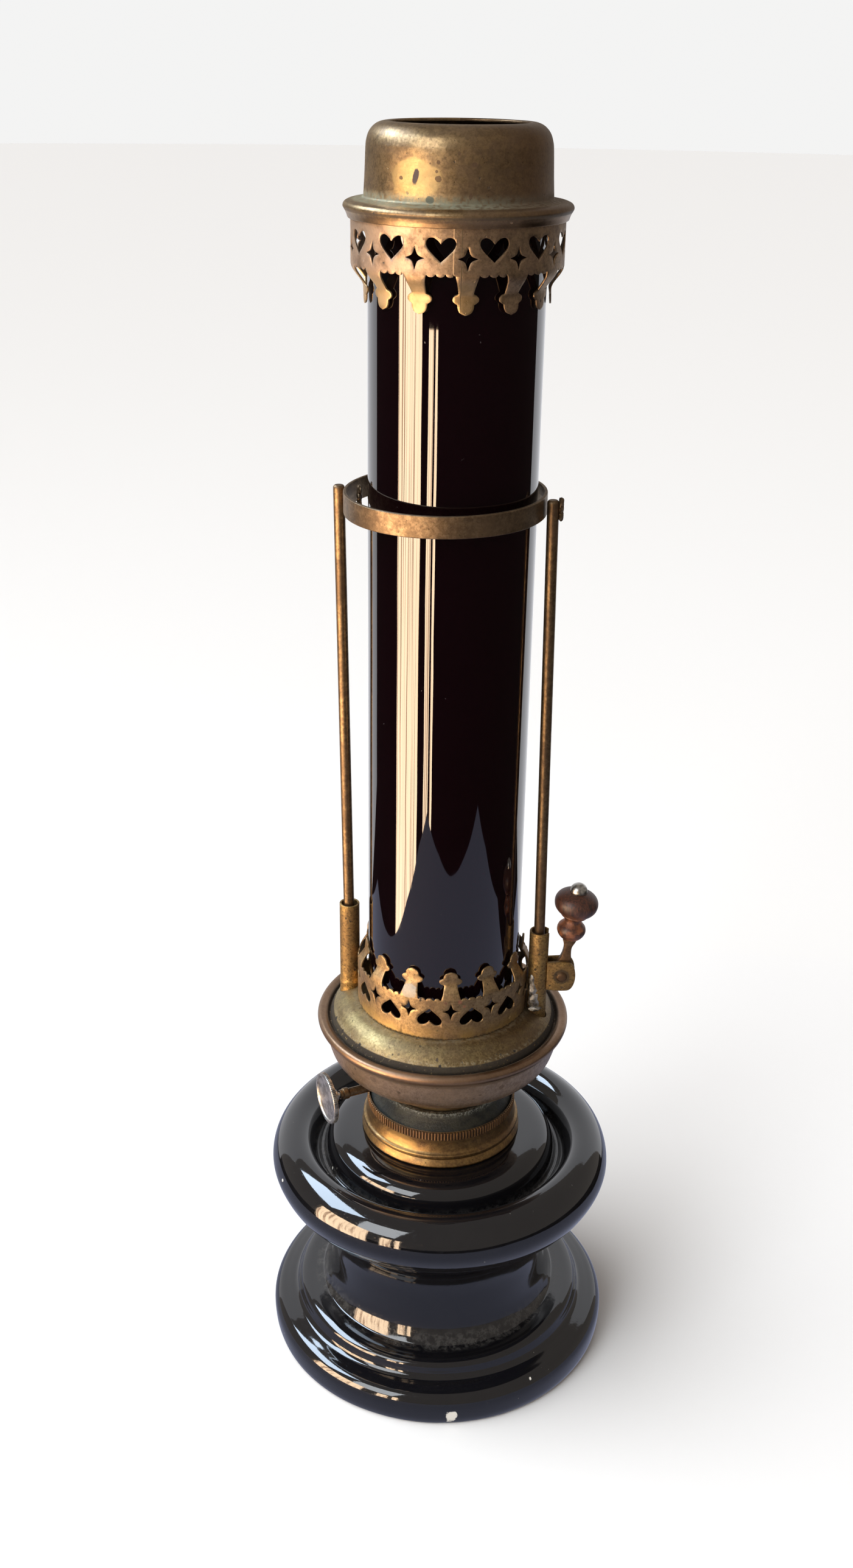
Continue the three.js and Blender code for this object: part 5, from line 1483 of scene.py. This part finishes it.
card("floor", level_square(FLOOR_HALF, 0), plain("pale_floor", (0.87, 0.865, 0.86)),
     camera=True, glossy=False, diffuse=True)
turns = np.linspace(0, 2 * math.pi, WALL_CARDS + 1)
wall_line = [(WALL_R * math.cos(a), WALL_R * math.sin(a)) for a in turns]
white_wall = glowing("white_wall", (0.90, 0.90, 0.895))
for i, (a, b) in enumerate(zip(wall_line, wall_line[1:])):
    card(f"wall_{i}", [(*a, 0), (*b, 0), (*b, WALL_HEIGHT), (*a, WALL_HEIGHT)], white_wall,
         camera=True, glossy=False)
TABLE_EDGE = [(-0.20, 0.35), (-0.38, 0.20), (-0.36, -0.10), (-0.35, -0.24), (-0.315, -0.40),
              (-0.26, -0.50), (-0.085, -0.49), (0.06, -0.46), (0.195, -0.445), (0.405, -0.41),
              (0.43, -0.26), (0.415, -0.05), (0.31, 0.085), (0.30, 0.30)]
card("mirrored_table", [(x, y, 0.0005) for x, y in TABLE_EDGE],
     glowing("table_top", (0.27, 0.29, 0.40)))
card("mirrored_room", level_square(12, -0.75), plain("dark_room", (0.01, 0.008, 0.008), 0.9))
lit = Finish("lit_curtain")
fold = lit.noise(1.0, 4, 0.6, at=lit.stretched(0.035, 0.035, 0.0011), warp=0.35)
warm = lit.colour(lit.step(fold, 0.40, 0.50), (0.30, 0.17, 0.10), (1.0, 0.73, 0.48))
lit.set(base_color=(0, 0, 0), roughness=1.0, emission_strength=16.0, emission_color=warm)
for i, (left, right, top) in enumerate(((77, 43, 0.42), (34, 27.5, 0.3), (25, 22, 0.3))):
    a, b = polar(CURTAIN_R, -90 - left), polar(CURTAIN_R, -90 - right)
    card(f"curtain_{i}", [(*a, CURTAIN_FOOT), (*b, CURTAIN_FOOT), (*b, top), (*a, top)],
         lit.material)
card("roof_window",
     [(-1.30, -0.30, 0.95), (-0.70, -0.34, 1.15), (-0.52, 0.62, 1.15), (-1.0, 0.62, 0.95)],
     glowing("sky_pane", (9.5, 11.5, 14.0)))
card("mirrored_wall", [(-0.5, 0.3, 0), (0.42, 0.3, 0), (0.42, 0.3, 0.42), (-0.5, 0.3, 0.42)],
     glowing("pale_wall", (0.85, 0.86, 0.9)))


def lamp(name, kind, power, tint, direction, at=(0, 0, 0)):
    """A light that shines along a direction, and its settings."""
    data = bpy.data.lights.new(name, kind)
    data.energy = power
    data.color = tint
    thing = add_object(name, data)
    thing.location = at
    thing.rotation_mode = "QUATERNION"
    thing.rotation_quaternion = Vector(direction).to_track_quat("-Z", "Y")
    return thing, data


WINDOW_AT = Vector((-0.95, -1.15, 1.15))
_, window = lamp("window", "AREA", 13, (0.90, 0.95, 1.0), Vector((0, 0, 0.2)) - WINDOW_AT, WINDOW_AT)
window.shape = "RECTANGLE"
window.size = 0.8
window.size_y = 0.9
sky, daylight = lamp("daylight", "SUN", 2.95, (0.955, 0.98, 1.0), (0.55, 0.10, -1.0))
daylight.angle = math.radians(55)
sky.visible_glossy = False

world = bpy.data.worlds.new("room")
world.use_nodes = True
air = world.node_tree.nodes["Background"]
air.inputs["Color"].default_value = (1.0, 0.90, 0.81, 1)
air.inputs["Strength"].default_value = 0.33
bpy.context.scene.world = world
bpy.context.scene.view_settings.view_transform = "Standard"
